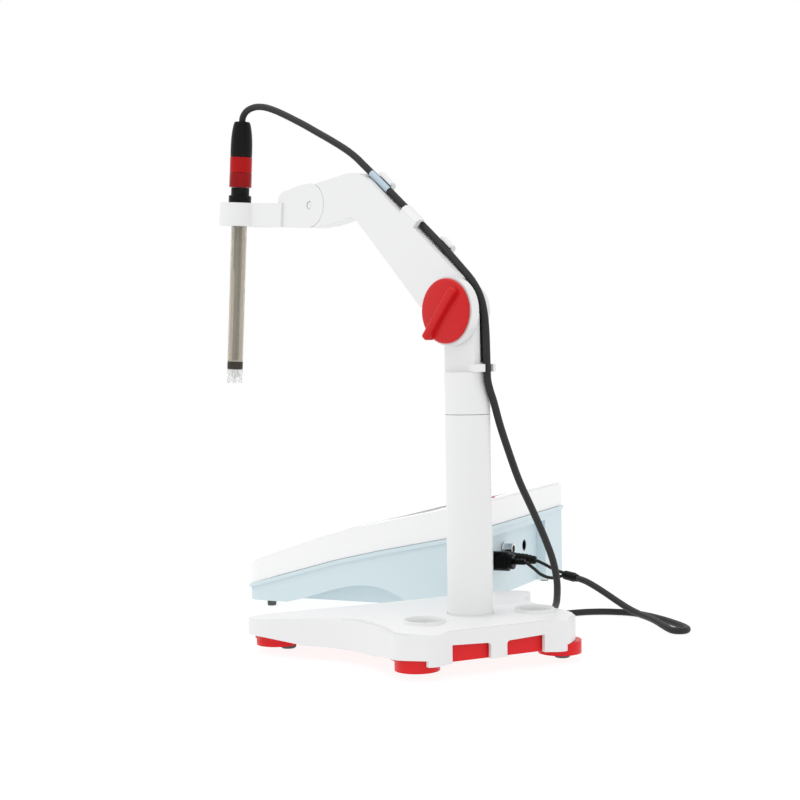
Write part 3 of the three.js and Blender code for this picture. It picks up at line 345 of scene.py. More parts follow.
# ---- finishes ---------------------------------------------------------------------
class Groups:
    """Shader node groups that several finishes share."""

    _made: dict = {}

    @classmethod
    def grain(cls) -> bpy.types.NodeTree:
        """Moulded grain: fine noise as a height, broad noise as a mottle between 0 and 1."""
        if "grain" in cls._made:
            return cls._made["grain"]
        tree = bpy.data.node_groups.new("moulded_grain", "ShaderNodeTree")
        for name, default in (("Fine", 900.0), ("Broad", 14.0)):
            socket = tree.interface.new_socket(name, in_out="INPUT", socket_type="NodeSocketFloat")
            socket.default_value = default
        for name in ("Height", "Mottle"):
            tree.interface.new_socket(name, in_out="OUTPUT", socket_type="NodeSocketFloat")
        nodes, links = tree.nodes, tree.links
        start, end = nodes.new("NodeGroupInput"), nodes.new("NodeGroupOutput")
        place = nodes.new("ShaderNodeTexCoord")
        fine, broad = nodes.new("ShaderNodeTexNoise"), nodes.new("ShaderNodeTexNoise")
        fine.inputs["Detail"].default_value = 3
        broad.inputs["Detail"].default_value = 4
        for node, name in ((fine, "Fine"), (broad, "Broad")):
            links.new(place.outputs["Object"], node.inputs["Vector"])
            links.new(start.outputs[name], node.inputs["Scale"])
        links.new(fine.outputs["Fac"], end.inputs["Height"])
        links.new(broad.outputs["Fac"], end.inputs["Mottle"])
        cls._made["grain"] = tree
        return tree

    @classmethod
    def braid(cls) -> bpy.types.NodeTree:
        """A twisted jacket: two crossing waves over the map, u round the cord and v along it."""
        if "braid" in cls._made:
            return cls._made["braid"]
        tree = bpy.data.node_groups.new("braided_jacket", "ShaderNodeTree")
        for name, default in (("Strands", 12.0), ("Per metre", 420.0)):
            socket = tree.interface.new_socket(name, in_out="INPUT", socket_type="NodeSocketFloat")
            socket.default_value = default
        for name in ("Height", "Shade"):
            tree.interface.new_socket(name, in_out="OUTPUT", socket_type="NodeSocketFloat")
        nodes, links = tree.nodes, tree.links
        start, end = nodes.new("NodeGroupInput"), nodes.new("NodeGroupOutput")
        place, split = nodes.new("ShaderNodeTexCoord"), nodes.new("ShaderNodeSeparateXYZ")
        links.new(place.outputs["UV"], split.inputs[0])

        def math_node(kind: str, a: object, b: object) -> bpy.types.NodeSocket:
            """A Math node on two sockets or numbers."""
            node = nodes.new("ShaderNodeMath")
            node.operation = kind
            for socket, value in zip(node.inputs, (a, b)):
                if isinstance(value, (int, float)):
                    socket.default_value = value
                else:
                    links.new(value, socket)
            return node.outputs[0]

        turns = math_node("MULTIPLY", split.outputs[0], start.outputs["Strands"])
        along = math_node("MULTIPLY", split.outputs[1], start.outputs["Per metre"])
        waves = []
        for kind in ("ADD", "SUBTRACT"):
            phase = math_node("MULTIPLY", math_node(kind, turns, along), 2 * math.pi)
            wave = math_node("SINE", phase, 0.0)
            waves.append(math_node("MULTIPLY_ADD", wave, 0.5))
            waves[-1].node.inputs[2].default_value = 0.5
        height = math_node("MAXIMUM", waves[0], waves[1])
        links.new(height, end.inputs["Height"])
        links.new(waves[0], end.inputs["Shade"])
        cls._made["braid"] = tree
        return tree


def new_material(name: str) -> tuple:
    """A named material with its node tree and Principled shader."""
    material = bpy.data.materials.new(name)
    material.use_nodes = True
    tree = material.node_tree
    return material, tree, tree.nodes["Principled BSDF"]


def add_grain(tree: bpy.types.NodeTree, fine: float, broad: float) -> bpy.types.Node:
    """A grain group with its two noise scales set."""
    grain = tree.nodes.new("ShaderNodeGroup")
    grain.node_tree = Groups.grain()
    grain.inputs["Fine"].default_value = fine
    grain.inputs["Broad"].default_value = broad
    return grain


def add_gloss(tree: bpy.types.NodeTree, shader: bpy.types.Node, mottle: bpy.types.NodeSocket,
              low: float, high: float) -> None:
    """Lets a mottle drive the roughness between two values."""
    gloss = tree.nodes.new("ShaderNodeMapRange")
    gloss.inputs["To Min"].default_value = low
    gloss.inputs["To Max"].default_value = high
    tree.links.new(mottle, gloss.inputs["Value"])
    tree.links.new(gloss.outputs["Result"], shader.inputs["Roughness"])


def add_bump(tree: bpy.types.NodeTree, shader: bpy.types.Node, height: bpy.types.NodeSocket,
             strength: float, depth: float) -> None:
    """Lets a height lift the surface, by a depth in millimetres."""
    bump = tree.nodes.new("ShaderNodeBump")
    bump.inputs["Strength"].default_value = strength
    bump.inputs["Distance"].default_value = depth * MM
    tree.links.new(height, bump.inputs["Height"])
    tree.links.new(bump.outputs["Normal"], shader.inputs["Normal"])


@dataclass(frozen=True)
class Moulded:
    """Moulded plastic or rubber: a colour that drifts a little, grain, and an even gloss."""

    name: str
    colour: tuple
    rough: float = 0.4
    fine: float = 900.0
    broad: float = 14.0
    depth: float = 0.02
    drift: float = 0.03
    coat: float = 0.0
    clear: float = 0.0
    ior: float = 1.46

    def material(self) -> bpy.types.Material:
        """The shader: mottle drives colour and roughness, grain drives a shallow bump."""
        material, tree, shader = new_material(self.name)
        grain = add_grain(tree, self.fine, self.broad)
        tint = tree.nodes.new("ShaderNodeMix")
        tint.data_type = "RGBA"
        darker = [c * (1 - self.drift * 2) for c in self.colour]
        tint.inputs[6].default_value = (*darker, 1)
        tint.inputs[7].default_value = (*self.colour, 1)
        tree.links.new(grain.outputs["Mottle"], tint.inputs[0])
        tree.links.new(tint.outputs[2], shader.inputs["Base Color"])
        add_gloss(tree, shader, grain.outputs["Mottle"],
                  max(0.02, self.rough - 0.06), min(1.0, self.rough + 0.06))
        add_bump(tree, shader, grain.outputs["Height"], 0.5, self.depth)
        shader.inputs["IOR"].default_value = self.ior
        shader.inputs["Coat Weight"].default_value = self.coat
        shader.inputs["Transmission Weight"].default_value = self.clear
        return material


@dataclass(frozen=True)
class Turned:
    """Bright turned metal with a fine grain."""

    name: str
    colour: tuple
    rough: float = 0.22

    def material(self) -> bpy.types.Material:
        """The shader: full metal, roughness and a shallow bump from the grain."""
        material, tree, shader = new_material(self.name)
        grain = add_grain(tree, 2200.0, 60.0)
        shader.inputs["Base Color"].default_value = (*self.colour, 1)
        shader.inputs["Metallic"].default_value = 1.0
        add_gloss(tree, shader, grain.outputs["Mottle"], self.rough - 0.08, self.rough + 0.1)
        add_bump(tree, shader, grain.outputs["Height"], 0.3, 0.01)
        return material


@dataclass(frozen=True)
class Jacket:
    """A flexible jacket with a fine braid that follows the cord."""

    name: str
    colour: tuple
    strands: float = 12.0
    per_metre: float = 420.0

    def material(self) -> bpy.types.Material:
        """The shader: the braid shades the colour and lifts the surface."""
        material, tree, shader = new_material(self.name)
        braid = tree.nodes.new("ShaderNodeGroup")
        braid.node_tree = Groups.braid()
        braid.inputs["Strands"].default_value = self.strands
        braid.inputs["Per metre"].default_value = self.per_metre
        tint = tree.nodes.new("ShaderNodeMix")
        tint.data_type = "RGBA"
        tint.inputs[6].default_value = (*[c * 0.72 for c in self.colour], 1)
        tint.inputs[7].default_value = (*[min(1.0, c * 1.25) for c in self.colour], 1)
        tree.links.new(braid.outputs["Shade"], tint.inputs[0])
        tree.links.new(tint.outputs[2], shader.inputs["Base Color"])
        shader.inputs["Roughness"].default_value = 0.5
        shader.inputs["IOR"].default_value = 1.3
        add_bump(tree, shader, braid.outputs["Height"], 0.6, 0.12)
        return material


Finish = Moulded | Turned | Jacket

WHITE = Moulded("white_moulding", (0.79, 0.793, 0.797), 0.36, fine=900, broad=9, depth=0.003, drift=0.012)
# painted light: a brighter copy of the white moulding for the meter's top cover, lightened because its side
# faces the light
LIT_COVER_WHITE = Moulded("cover_moulding_painted_light", (0.89, 0.893, 0.896), 0.34, fine=1400, broad=9, depth=0.012, drift=0.01)
BLUE = Moulded("pale_blue_moulding", (0.63, 0.745, 0.785), 0.42, fine=1100, broad=10, depth=0.03, drift=0.02)
RED = Moulded("red_moulding", (0.60, 0.012, 0.014), 0.3, fine=1200, broad=12, depth=0.015, drift=0.05,
              ior=1.3)
TRAY_RED = Moulded("red_tray", (0.72, 0.014, 0.018), 0.32, fine=1200, broad=12, depth=0.015, drift=0.04,
                   ior=1.3)
SLEEVE = Moulded("red_sleeve", (0.43, 0.005, 0.006), 0.3, fine=900, broad=60, depth=0.01, drift=0.06,
                 ior=1.22)
CLEAR_RED = Moulded("clear_red_ring", (0.33, 0.006, 0.008), 0.2, fine=700, broad=90, depth=0.01, drift=0.15,
                    ior=1.22)
BLACK = Moulded("black_moulding", (0.007, 0.007, 0.0065), 0.3, fine=1200, broad=40, depth=0.015, drift=0.1,
                ior=1.2)
GLOSS_BLACK = Moulded("black_gloss", (0.002, 0.002, 0.002), 0.12, fine=900, broad=30, depth=0.004, ior=1.17)
RUBBER = Moulded("grey_rubber", (0.10, 0.105, 0.11), 0.72, fine=1500, broad=40, depth=0.04, drift=0.15)
CABLE = Jacket("cable_jacket", (0.024, 0.0245, 0.024))
LEAD = Jacket("lead_jacket", (0.014, 0.014, 0.014), strands=8, per_metre=600)
STEEL = Turned("bright_steel", (0.72, 0.72, 0.73))
BEIGE_CLEAR = Moulded("clear_shaft", (0.74, 0.70, 0.61), 0.07, fine=400, broad=60, depth=0.004, drift=0.04,
                      clear=0.78, ior=1.33)
CLEAR = Moulded("clear_guard", (0.93, 0.94, 0.93), 0.04, fine=400, broad=40, depth=0.003, clear=0.9, ior=1.4)
BAND = Moulded("dark_ring", (0.060, 0.047, 0.038), 0.5, fine=900, broad=160, depth=0.05, drift=0.2, ior=1.25)
TUBE = Moulded("inner_tube", (0.45, 0.40, 0.32), 0.15, fine=500, broad=70, depth=0.01, clear=0.45, ior=1.3)
BLUE_LABEL = Moulded("blue_label", (0.46, 0.58, 0.67), 0.4, fine=900, broad=60, depth=0.01, drift=0.05)
KEY = Moulded("soft_key", (0.72, 0.75, 0.77), 0.55, fine=1300, broad=30, depth=0.02, drift=0.03)
SCREEN = Moulded("display_window", (0.055, 0.07, 0.075), 0.08, fine=300, broad=8, depth=0.002, coat=1.0)
BOARD = Moulded("circuit_board", (0.03, 0.16, 0.07), 0.4, fine=300, broad=60, depth=0.03, drift=0.2)


class Paint:
    """Gives pieces and CAD nodes their finishes."""

    _made: dict = {}

    @classmethod
    def get(cls, finish: Finish) -> bpy.types.Material:
        """The finish's material, made once."""
        if finish.name not in cls._made:
            cls._made[finish.name] = finish.material()
        return cls._made[finish.name]

    @classmethod
    def dress(cls, piece: bpy.types.Object, finish: Finish) -> bpy.types.Object:
        """Puts one finish on every slot of the piece."""
        material = cls.get(finish)
        if not piece.data.materials:
            piece.data.materials.append(material)
        for slot in piece.material_slots:
            slot.material = material
        return piece


def add(piece: bpy.types.Object, body: Body, finish: Finish, slot: str, *nodes: str) -> bpy.types.Object:
    """Dresses a piece, rides it on its body and lets it stand for CAD nodes.

    Args:
        piece: the finished mesh.
        body: the body that it moves with.
        finish: its finish.
        slot: not used.
        nodes: the CAD nodes that it stands for.

    Returns:
        The piece.
    """
    Paint.dress(piece, finish)
    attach(piece, body.value)
    if nodes:
        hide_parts(*nodes)
    LOG.info("%s on %s", piece.name, body.value)
    return piece


# ---- camera and light -------------------------------------------------------------
@dataclass
class Studio:
    """Camera, floor and soft light."""

    lens: float = 69.7
    stand_off: tuple = (947.3, 390.2, 206.5)
    heading: float = math.radians(65.12176)
    pitch: float = math.radians(1.8242)
    roll: float = math.radians(-0.9257)
    sun: float = 0.6
    sun_from: tuple = (0.2, -0.45, 1.0)

    def camera(self, site: Site) -> bpy.types.Object:
        """The camera: level right and forward directions, then pitch, then roll about the view."""
        right = Vector((-math.cos(self.heading), math.sin(self.heading), 0))
        level = Vector((-math.sin(self.heading), -math.cos(self.heading), 0))
        forward = level * math.cos(self.pitch) - Vector((0, 0, math.sin(self.pitch)))
        up = right.cross(forward)
        side = right * math.cos(self.roll) + up * math.sin(self.roll)
        rise = up * math.cos(self.roll) - right * math.sin(self.roll)
        data = bpy.data.cameras.new("camera")
        data.lens = self.lens
        data.sensor_width = 36.0
        data.clip_start, data.clip_end = 0.05, 20.0
        camera = bpy.data.objects.new("camera", data)
        turn = Matrix((side, rise, -forward)).transposed().to_4x4()
        camera.matrix_world = Matrix.Translation(Vector(site.table.world([self.stand_off])[0])) @ turn
        bpy.context.scene.collection.objects.link(camera)
        bpy.context.scene.camera = camera
        return camera

    def floor(self) -> None:
        """A pale floor that runs far behind the object."""
        corners = [(x * FLOOR_HALF, y * FLOOR_HALF, -FLOOR_DROP)
                   for x, y in ((-1, -1), (1, -1), (1, 1), (-1, 1))]
        piece = Build.mesh("floor", np.array(corners), [[0, 1, 2, 3]], smooth=False)
        material, tree, shader = new_material("floor")
        shader.inputs["Base Color"].default_value = (0.14, 0.14, 0.14, 1)
        shader.inputs["Roughness"].default_value = 0.9
        shader.inputs["Specular IOR Level"].default_value = 0.0
        shader.inputs["Emission Color"].default_value = (1, 1, 1, 1)
        shader.inputs["Emission Strength"].default_value = 0.9
        piece.data.materials.append(material)

    def lights(self) -> None:
        """An even white surround and one broad soft light from the upper left."""
        scene = bpy.context.scene
        scene.view_settings.view_transform = "Standard"
        scene.view_settings.look = "None"
        world = bpy.data.worlds.new("surround")
        scene.world = world
        world.use_nodes = True
        world.node_tree.nodes["Background"].inputs["Color"].default_value = (1, 1, 1, 1)
        world.node_tree.nodes["Background"].inputs["Strength"].default_value = 1.0
        data = bpy.data.lights.new("upper_left", "SUN")
        data.energy = self.sun
        data.angle = math.radians(50)
        lamp = bpy.data.objects.new("upper_left", data)
        lamp.rotation_euler = Vector(self.sun_from).to_track_quat("Z", "Y").to_euler()
        scene.collection.objects.link(lamp)


# ---- cords ------------------------------------------------------------------------
TOP_RUN = [(236.4, 0, 384.1), (235.7, 0, 387), (233.3, 0, 389.8), (229.6, 0, 391.8), (224.6, 0, 392.9),
           (218, 0, 393.1), (208.5, 0, 391.6), (196, 0, 387.6), (181, 0, 381.4), (172.3, 0, 377.5)]
ARC_RUN = [(172.3, 0, 377.5), (164.5, 0, 374), (148, 0, 366), (132, 0, 358.2), (116.4, 0, 350),
           (106.5, 0, 343.8), (98.5, 0, 337.7), (90.4, 0, 331.4)]
ARM_RUN = [(90.4, 0, 331.4), (80, 0, 323.4), (69.5, 0, 315), (56, 0, 304.2), (42.2, 0, 293),
           (29, 0, 282.4), (16, 0, 271.6), (3.9, 0, 260.9)]
NECK_RUN = [(3.9, 0, 260.9), (-3, 0, 254.6), (-9.2, 0, 247.6), (-13.8, 0, 239.6), (-16.4, 0, 230),
            (-17.6, 0, 219), (-18, 0, 208), (-18.2, 0, 198), (-18.4, 0, 189.8)]
FALL_RUN = [(6.83, 17.1, 189.8), (6.7, 17.12, 187.4), (3.6, 17.5, 180), (-0.8, 18.2, 172.5),
            (-8.9, 19.4, 156.3), (-18.6, 21.2, 139.1), (-32, 23.5, 118), (-49.5, 26.6, 96),
            (-66.7, 29.6, 73.5), (-76.9, 31.2, 58), (-86, 30.8, 42.5), (-98, 26.5, 27.5),
            (-118, 17.5, 16.8), (-138, 8.5, 9.6), (-154, 3.4, 5), (-166, 2.3, 3.1), (-171.2, 2.63, 2.8)]
LOOP_RUN = [(-171.2, 2.63, 2.8), (-174.6, 3.4, 2.75), (-184, 10.6, 2.7), (-192.6, 21, 2.7),
            (-198, 35, 2.7), (-198.4, 51, 2.7), (-191.2, 65.6, 2.7), (-180.5, 79.2, 2.7), (-169, 91, 2.7),
            (-157, 101.6, 2.7), (-150, 106.6, 2.7), (-144.8, 108.8, 2.7), (-139.8, 108.4, 2.7),
            (-136.2, 105.3, 2.8), (-135.6, 100.8, 3), (-138.4, 96.4, 3.7), (-145, 90.2, 4.8),
            (-154, 82.6, 5.9), (-164.5, 74.2, 6.2), (-174.5, 65, 6.4), (-182.6, 54.8, 8.4),
            (-189.8, 44.2, 11.9), (-196, 33.4, 16.3), (-203, 21.3, 20.9), (-208.5, 11.5, 23.9),
            (-212.3, 4, 25.2)]
LEAD_A_RUN = [(-221.6, -9.8, 27.4), (-223, -18, 29.2), (-224.5, -27, 33), (-225, -34.4, 35.9)]
LEAD_B_RUN = [(-220.1, -10.9, 25.4), (-215, -18, 24), (-206.5, -24, 27.5), (-200.5, -28, 33),
              (-199, -34.3, 38)]


class Path:
    """Smooth lines through points."""

    @staticmethod
    def smooth(points: np.ndarray, step: float) -> np.ndarray:
        """A centripetal curve through the points, sampled evenly.

        Each stretch blends its four nearest points with weights from the square root of the
        distances between them, so that the line never overshoots a tight bend.

        Args:
            points: (N, 3).
            step: distance between samples, in the points' own unit.

        Returns:
            The samples, (M, 3).
        """
        p = np.asarray(points, float)
        p = np.vstack([2 * p[0] - p[1], p, 2 * p[-1] - p[-2]])
        knot = np.concatenate([[0], np.cumsum(np.linalg.norm(np.diff(p, axis=0), axis=1) ** 0.5)])
        out = []
        for i in range(1, len(p) - 2):
            t = np.linspace(knot[i], knot[i + 1], 24, endpoint=i == len(p) - 3)[:, None]
            t0, t1, t2, t3 = knot[i - 1:i + 3]
            a1 = ((t1 - t) * p[i - 1] + (t - t0) * p[i]) / (t1 - t0)
            a2 = ((t2 - t) * p[i] + (t - t1) * p[i + 1]) / (t2 - t1)
            a3 = ((t3 - t) * p[i + 1] + (t - t2) * p[i + 2]) / (t3 - t2)
            b1 = ((t2 - t) * a1 + (t - t0) * a2) / (t2 - t0)
            b2 = ((t3 - t) * a2 + (t - t1) * a3) / (t3 - t1)
            out.append(((t2 - t) * b1 + (t - t1) * b2) / (t2 - t1))
        line = np.vstack(out)
        far = np.concatenate([[0], np.cumsum(np.linalg.norm(np.diff(line, axis=0), axis=1))])
        even = np.linspace(0, far[-1], max(6, int(round(far[-1] / step))) + 1)
        return np.column_stack([np.interp(even, far, line[:, k]) for k in range(3)])

    @staticmethod
    def length(line: np.ndarray) -> float:
        """The line's length."""
        return float(np.linalg.norm(np.diff(line, axis=0), axis=1).sum())

    @staticmethod
    def tube(name: str, line: np.ndarray, radius: float | np.ndarray, sides: int = 20,
             start: float = 0.0) -> bpy.types.Object:
        """A round tube: each ring stands square to the line, turned on from the ring before.

        Args:
            name: the piece's name.
            line: (N, 3) in metres.
            radius: one radius, or one for each ring, in metres.
            sides: points round a ring.
            start: how far along the cord the map begins, in metres.

        Returns:
            The object, with a map: u round, v along in metres.
        """
        ahead = np.gradient(line, axis=0)
        ahead /= np.linalg.norm(ahead, axis=1)[:, None]
        side = np.empty_like(ahead)
        first = np.cross(ahead[0], (0.31, 0.87, 0.38))
        side[0] = first / np.linalg.norm(first)
        for i in range(1, len(line)):
            kept = side[i - 1] - ahead[i] * (side[i - 1] @ ahead[i])
            side[i] = kept / np.linalg.norm(kept)
        other = np.cross(ahead, side)
        angle = np.linspace(0, 2 * math.pi, sides, endpoint=False)
        r = np.broadcast_to(np.asarray(radius, float), (len(line),))[:, None, None]
        rings = line[:, None] + r * (side[:, None] * np.cos(angle)[None, :, None]
                                     + other[:, None] * np.sin(angle)[None, :, None])
        points = rings.reshape(-1, 3)
        quads = Build.grid(len(line), sides, True)
        row, column = np.divmod(quads, sides)
        u = column / sides
        u = np.where((u == 0) & (column.max(1, keepdims=True) == sides - 1)
                     & (column.min(1, keepdims=True) == 0), 1.0, u)
        far = np.concatenate([[0], np.cumsum(np.linalg.norm(np.diff(line, axis=0), axis=1))]) + start
        uv = np.stack([u, far[row]], -1).reshape(-1, 2)
        caps = [list(range(sides))[::-1], [len(points) - sides + i for i in range(sides)]]
        uv = np.vstack([uv, np.zeros((2 * sides, 2))])
        return Build.mesh(name, points, quads.tolist() + caps, uv=uv, sharp=60)


@dataclass
class Cables:
    """The electrode's cable from its boot to the two plugs."""

    site: Site
    lead_radius: float = 1.3
    gone: float = 0.0

    def run(self, name: str, points: list, place: Placement, node: str, bodies: tuple,
            ends: str = "object", lay: str = "loose", radius: float = 2.5, finish: Finish = CABLE,
            pieces: tuple = ()) -> bpy.types.Object:
        """One stretch of cord that stands for its CAD node.

        Args:
            name: the piece's name.
            points: the stretch's points in its own directions, in millimetres.
            place: those directions.
            node: the CAD node.
            bodies: one body to ride on; given two, it is baked in place and rides on neither.
            ends: not used.
            lay: not used.
            radius: in millimetres.
            finish: its jacket.
            pieces: not used.

        Returns:
            The piece.
        """
        line = Path.smooth(place.world(points), CORD_STEP)
        piece = Path.tube(name, line, radius * MM, 18 if radius > 2 else 12, self.gone)
        length = Path.length(line)
        self.gone += length
        Paint.dress(piece, finish)
        if len(bodies) == 2:
            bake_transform(piece)
        else:
            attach(piece, bodies[0].value)
        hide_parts(node)
        LOG.info("%s: %.3f m", name, length)
        return piece

    def build(self) -> None:
        """Every stretch of the cable, in order from the electrode."""
        head, table = self.site.head, self.site.table
        self.run("cord_top", TOP_RUN, head, "cable_top", (Body.ELECTRODE, Body.HOLDER))
        self.run("cord_arc", ARC_RUN, head, "cable_arc", (Body.HOLDER, Body.ARM))
        self.run("cord_arm", ARM_RUN, head, "cable_arm", (Body.ARM,), lay="taut")
        self.run("cord_neck", NECK_RUN, head, "cable_neck", (Body.ARM, Body.HEAD), lay="taut")
        self.run("cord_fall", FALL_RUN, table, "cable_fall", (Body.HEAD, Body.BASE), lay="hanging")
        leads = [self.run(name, points, table, node, (Body.BASE,), radius=self.lead_radius, finish=LEAD)
                 for name, points, node in (("lead_temperature", LEAD_A_RUN, "temperature_lead"),
                                            ("lead_electrode", LEAD_B_RUN, "electrode_lead"))]
        sleeves = Plugs(self.site).build()
        self.run("cord_loop", LOOP_RUN, table, "cable_loop", (Body.BASE,), ends="plug",
                 pieces=(*leads, *sleeves, "electrode_plug"))


# ---- finer pieces -----------------------------------------------------------------
@dataclass
class Stand:
    """The clamp knob and what dresses the arm."""

    site: Site

    def knob(self) -> None:
        """The red knob: a shallow dome with a tapered grip whose tail passes the rim."""
        axes = np.array([[1.0, 0, 0], [0, 0, -1.0], [0, 1.0, 0]])
        place = self.site.head.inner((3.5, 14.65, 232), axes)
        rim = [(0, 2.5), (4.3, 2.5), (4.3, 0), (20.8, 0), (21.2, 0.2), (21.4, 0.6), (21.4, 1.5), (21.1, 2.1),
               (20.5, 2.5), (19.4, 2.8), (15, 3.35), (8, 3.8), (0, 3.95)]
        dome = Build.revolve("knob", rim, place, 112)
        grip = Outline.rounded([(-18.6, -2.9, 2.8), (23.4, -2.7, 2.2), (23.4, 2.7, 2.2),
                                (-18.6, 2.9, 2.8)], 9)
        own = place.inner((0, 0, 0), turn_z(math.radians(50)))
        edge = [(0, 0.6), (0, 6.2), (0.25, 7.1), (0.8, 7.7), (1.6, 8.0)]
        bar = Build.plate("knob_grip", grip, edge, own)
        Build.combine(dome, bar, "UNION")
        Build.shade(dome, 35)
        Build.soften(dome, 0.55, 3, 30)
        add(dome, Body.KNOB, RED, "red", "clamp_knob")

    def painted_channel_shade(self) -> None:
        """A black tube between the head's back and the cable: painted shade for the shadowed channel behind
        the cable.
        """
        run = [(x + 2.3, y, z) for x, y, z in NECK_RUN if 196 < z < 249]
        line = Path.smooth(self.site.head.world(run), CORD_STEP)
        # painted shade: this black tube stands for the shadow in the channel behind the cable, not for a
        # real part
        piece = Path.tube("neck_painted_shade", line, 2.1 * MM, 16)
        add(piece, Body.HEAD, BLACK, "black")

    def label(self) -> None:
        """The pale blue tag wrapped round the cable on the arm's back."""
        line = Path.smooth(self.site.head.world(ARM_RUN[:4]), TAG_STEP)[1:24]
        piece = Path.tube("cable_tag", line, 2.64 * MM, 24)
        near = Build.mesh("tag_side", self.site.head.world([
            (60, 0.4, 300), (110, 0.4, 300), (110, 0.4, 350), (60, 0.4, 350),
            (60, 9, 300), (110, 9, 300), (110, 9, 350), (60, 9, 350)]),
            [[0, 1, 2, 3], [4, 5, 6, 7], [0, 1, 5, 4], [1, 2, 6, 5], [2, 3, 7, 6], [3, 0, 4, 7]],
            smooth=False)
        Build.combine(piece, near, "INTERSECT")
        add(piece, Body.ARM, BLUE_LABEL, "blue")


@dataclass
class Probe:
    """The electrode's head above the holder."""

    site: Site

    def boot(self) -> None:
        """The strain relief: a long smooth dome that closes on the cable."""
        low, high, wide, tip = 35.2, 61.7, 8.35, 3.9
        a = np.linspace(0, math.radians(66), 26)
        side = [(tip + (wide - tip) * math.cos(t) ** 0.9,
                 low + 6 + (high - low - 6) * math.sin(t) / math.sin(a[-1])) for t in a]
        end = side[-1][0]
        profile = [(0, low), (wide - 0.3, low), (wide, low + 0.4), *side, (end - 0.5, high + 0.25),
                   (2.62, high + 0.3), (2.62, high - 3), (0, high - 3)]
        piece = Build.revolve("boot", profile, self.site.electrode, 72, sharp=50)
        add(piece, Body.ELECTRODE, BLACK, "black", "electrode_boot")

    def shaft(self) -> None:
        """The clear shaft as a thin tube, with two fine tubes inside it."""
        tube = [(5.0, -122.2), (5.8, -122.2), (6.0, -122.0), (6.0, -0.3), (5.0, -0.3)]
        piece = Build.revolve("shaft", tube, self.site.electrode, 64, hollow=True)
        add(piece, Body.ELECTRODE, BEIGE_CLEAR, "glass", "electrode_shaft")
        for name, x, y, radius, low in (("wire_tube", 1.6, 1.9, 1.0, -52.0),
                                        ("fill_tube", -2.6, 1.1, 0.7, -120.0)):
            fine = [(0, low), (radius * 0.8, low), (radius, low + 0.4), (radius, -1.0), (0, -1.0)]
            piece = Build.revolve(name, fine, self.site.electrode, 20, about=(x, y, 0))
            add(piece, Body.ELECTRODE, BAND, "band")


@dataclass
class Plugs:
    """Ribbed ends on the cable."""

    site: Site

    def ribbed(self, name: str, start: tuple, end: tuple, radii: list, ribs: int, depth: float,
               finish: Finish, node: str) -> bpy.types.Object:
        """A sleeve between two points with rings round it.

        Args:
            name: the piece's name.
            start: one end, in millimetres about the column.
            end: the other end.
            radii: (share of the length, radius) from start to end.
            ribs: how many rings.
            depth: how deep the grooves between them are, in millimetres.
            finish: the finish.
            node: the CAD node that it stands for.

        Returns:
            The piece.
        """
        t = np.linspace(0, 1, ribs * 8 + 1)
        line = self.site.table.world(np.outer(1 - t, start) + np.outer(t, end))
        share, radius = np.array(radii).T
        groove = depth * np.clip(np.cos(t * ribs * 2 * math.pi) * 1.6 - 0.6, 0, 1)
        groove *= (t > 0.25) & (t < 0.97)
        piece = Path.tube(name, line, (np.interp(t, share, radius) - groove) * MM, 40)
        Build.shade(piece, 70)
        return add(piece, Body.BASE, finish, "black", node)

    def build(self) -> tuple:
        """The junction of the two leads and the boot of the second plug."""
        junction = self.ribbed("lead_junction", (-212.5, 3.6, 25.3), (-220, -9.5, 26.3),
                               [(0, 3.0), (0.2, 3.1), (0.22, 3.7), (0.9, 3.6), (1, 3.0)], 6, 0.35, BLACK,
                               "cable_junction")
        boot = self.ribbed("second_plug", (-225, -64.4, 37.3), (-225, -35, 36.2),
                           [(0, 5.3), (0.3, 5.3), (0.31, 4.8), (0.7, 4.5), (0.95, 3.4), (1, 2.8)], 9, 0.5,
                           BLACK, "temperature_plug")
        return junction.name, boot.name


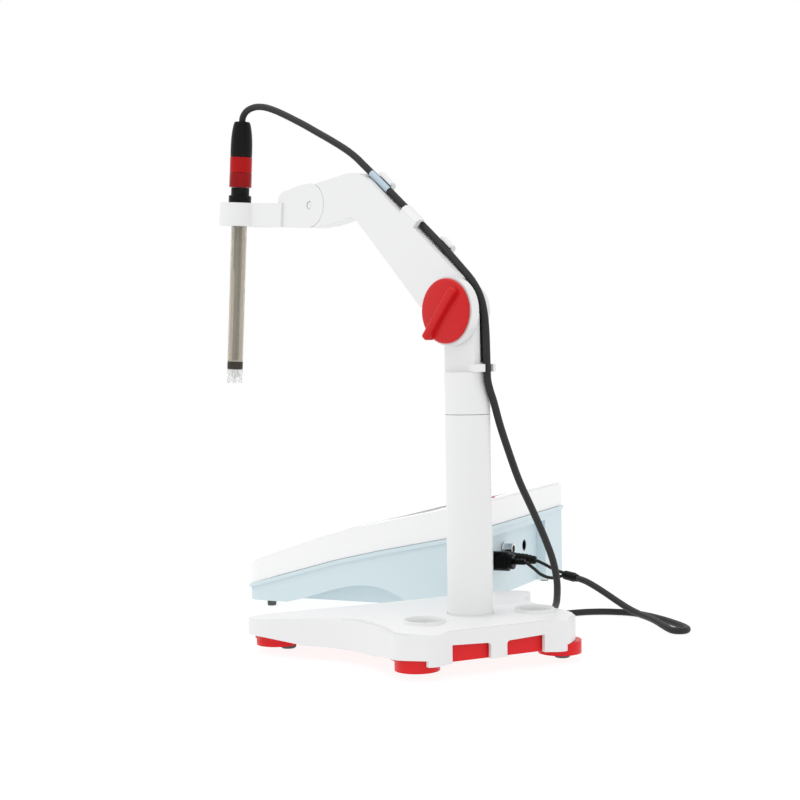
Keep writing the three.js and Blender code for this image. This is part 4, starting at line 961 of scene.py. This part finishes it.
# ---- CAD nodes that keep their shape ----------------------------------------------
KEPT = {
    "base_shell": (WHITE, 1.2), "base_tray": (TRAY_RED, 0.5), "column": (WHITE, 0.3),
    "swivel_head": (WHITE, 0.5), "arm": (WHITE, 0.45), "electrode_holder": (WHITE, 0.7),
    "meter_top_cover": (LIT_COVER_WHITE, 1.0), "meter_bottom_shell": (BLUE, 0.7), "display_window": (SCREEN, 0.3),
    "display_module": (BOARD, 0.2), "main_board": (BOARD, 0.1), "accent_strip": (RED, 0.3),
    "electrode_socket": (STEEL, 0.2), "spare_socket": (STEEL, 0.2), "temperature_socket": (STEEL, 0.2),
    "power_jack": (BLACK, 0.3), "ballast_plate": (STEEL, 0.3), "swivel_spindle": (STEEL, 0.3),
    "clamp_bolt": (STEEL, 0.2), "clamp_nut": (STEEL, 0.2), "wrist_pin": (WHITE, 0.2),
    "column_bolt": (STEEL, 0.2), "column_nut": (STEEL, 0.2), "case_screw_1": (STEEL, 0.2),
    "case_screw_2": (STEEL, 0.2), "electrode_flange": (BLACK, 0.2),
    "electrode_cap": (CLEAR_RED, 0.2), "electrode_sleeve": (SLEEVE, 0.2),
    "electrode_inner_tube": (TUBE, 0.0), "junction_band": (BAND, 0.1), "tip_guard": (CLEAR, 0.1),
    "glass_bulb": (CLEAR, 0.0), "electrode_plug": (GLOSS_BLACK, 0.4),
}


def keep_nodes(nodes: dict) -> None:
    """Rounds the edges of the CAD nodes that stay and gives them their finishes."""
    for name, (finish, edge) in KEPT.items():
        Build.soften(nodes[name], edge or 0.05, 2 if edge else 1)
        Paint.dress(nodes[name], finish)
    for i in range(1, 5):
        for name in (f"base_pad_{i}", f"meter_foot_{i}"):
            Build.soften(nodes[name], 0.4)
            Paint.dress(nodes[name], RUBBER)
    for i in range(1, 7):
        Build.soften(nodes[f"key_{i}"], 0.6)
        Paint.dress(nodes[f"key_{i}"], KEY)


def main() -> None:
    """Builds the whole scene around the frame."""
    logging.basicConfig(level=logging.INFO, format="%(message)s")
    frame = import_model()
    site = Site()
    studio = Studio()
    studio.camera(site)
    studio.floor()
    studio.lights()
    Cables(site).build()
    stand, probe = Stand(site), Probe(site)
    stand.knob()
    stand.painted_channel_shade()
    stand.label()
    probe.boot()
    probe.shaft()
    keep_nodes(frame["nodes"])


if __name__ == "__main__":
    main()
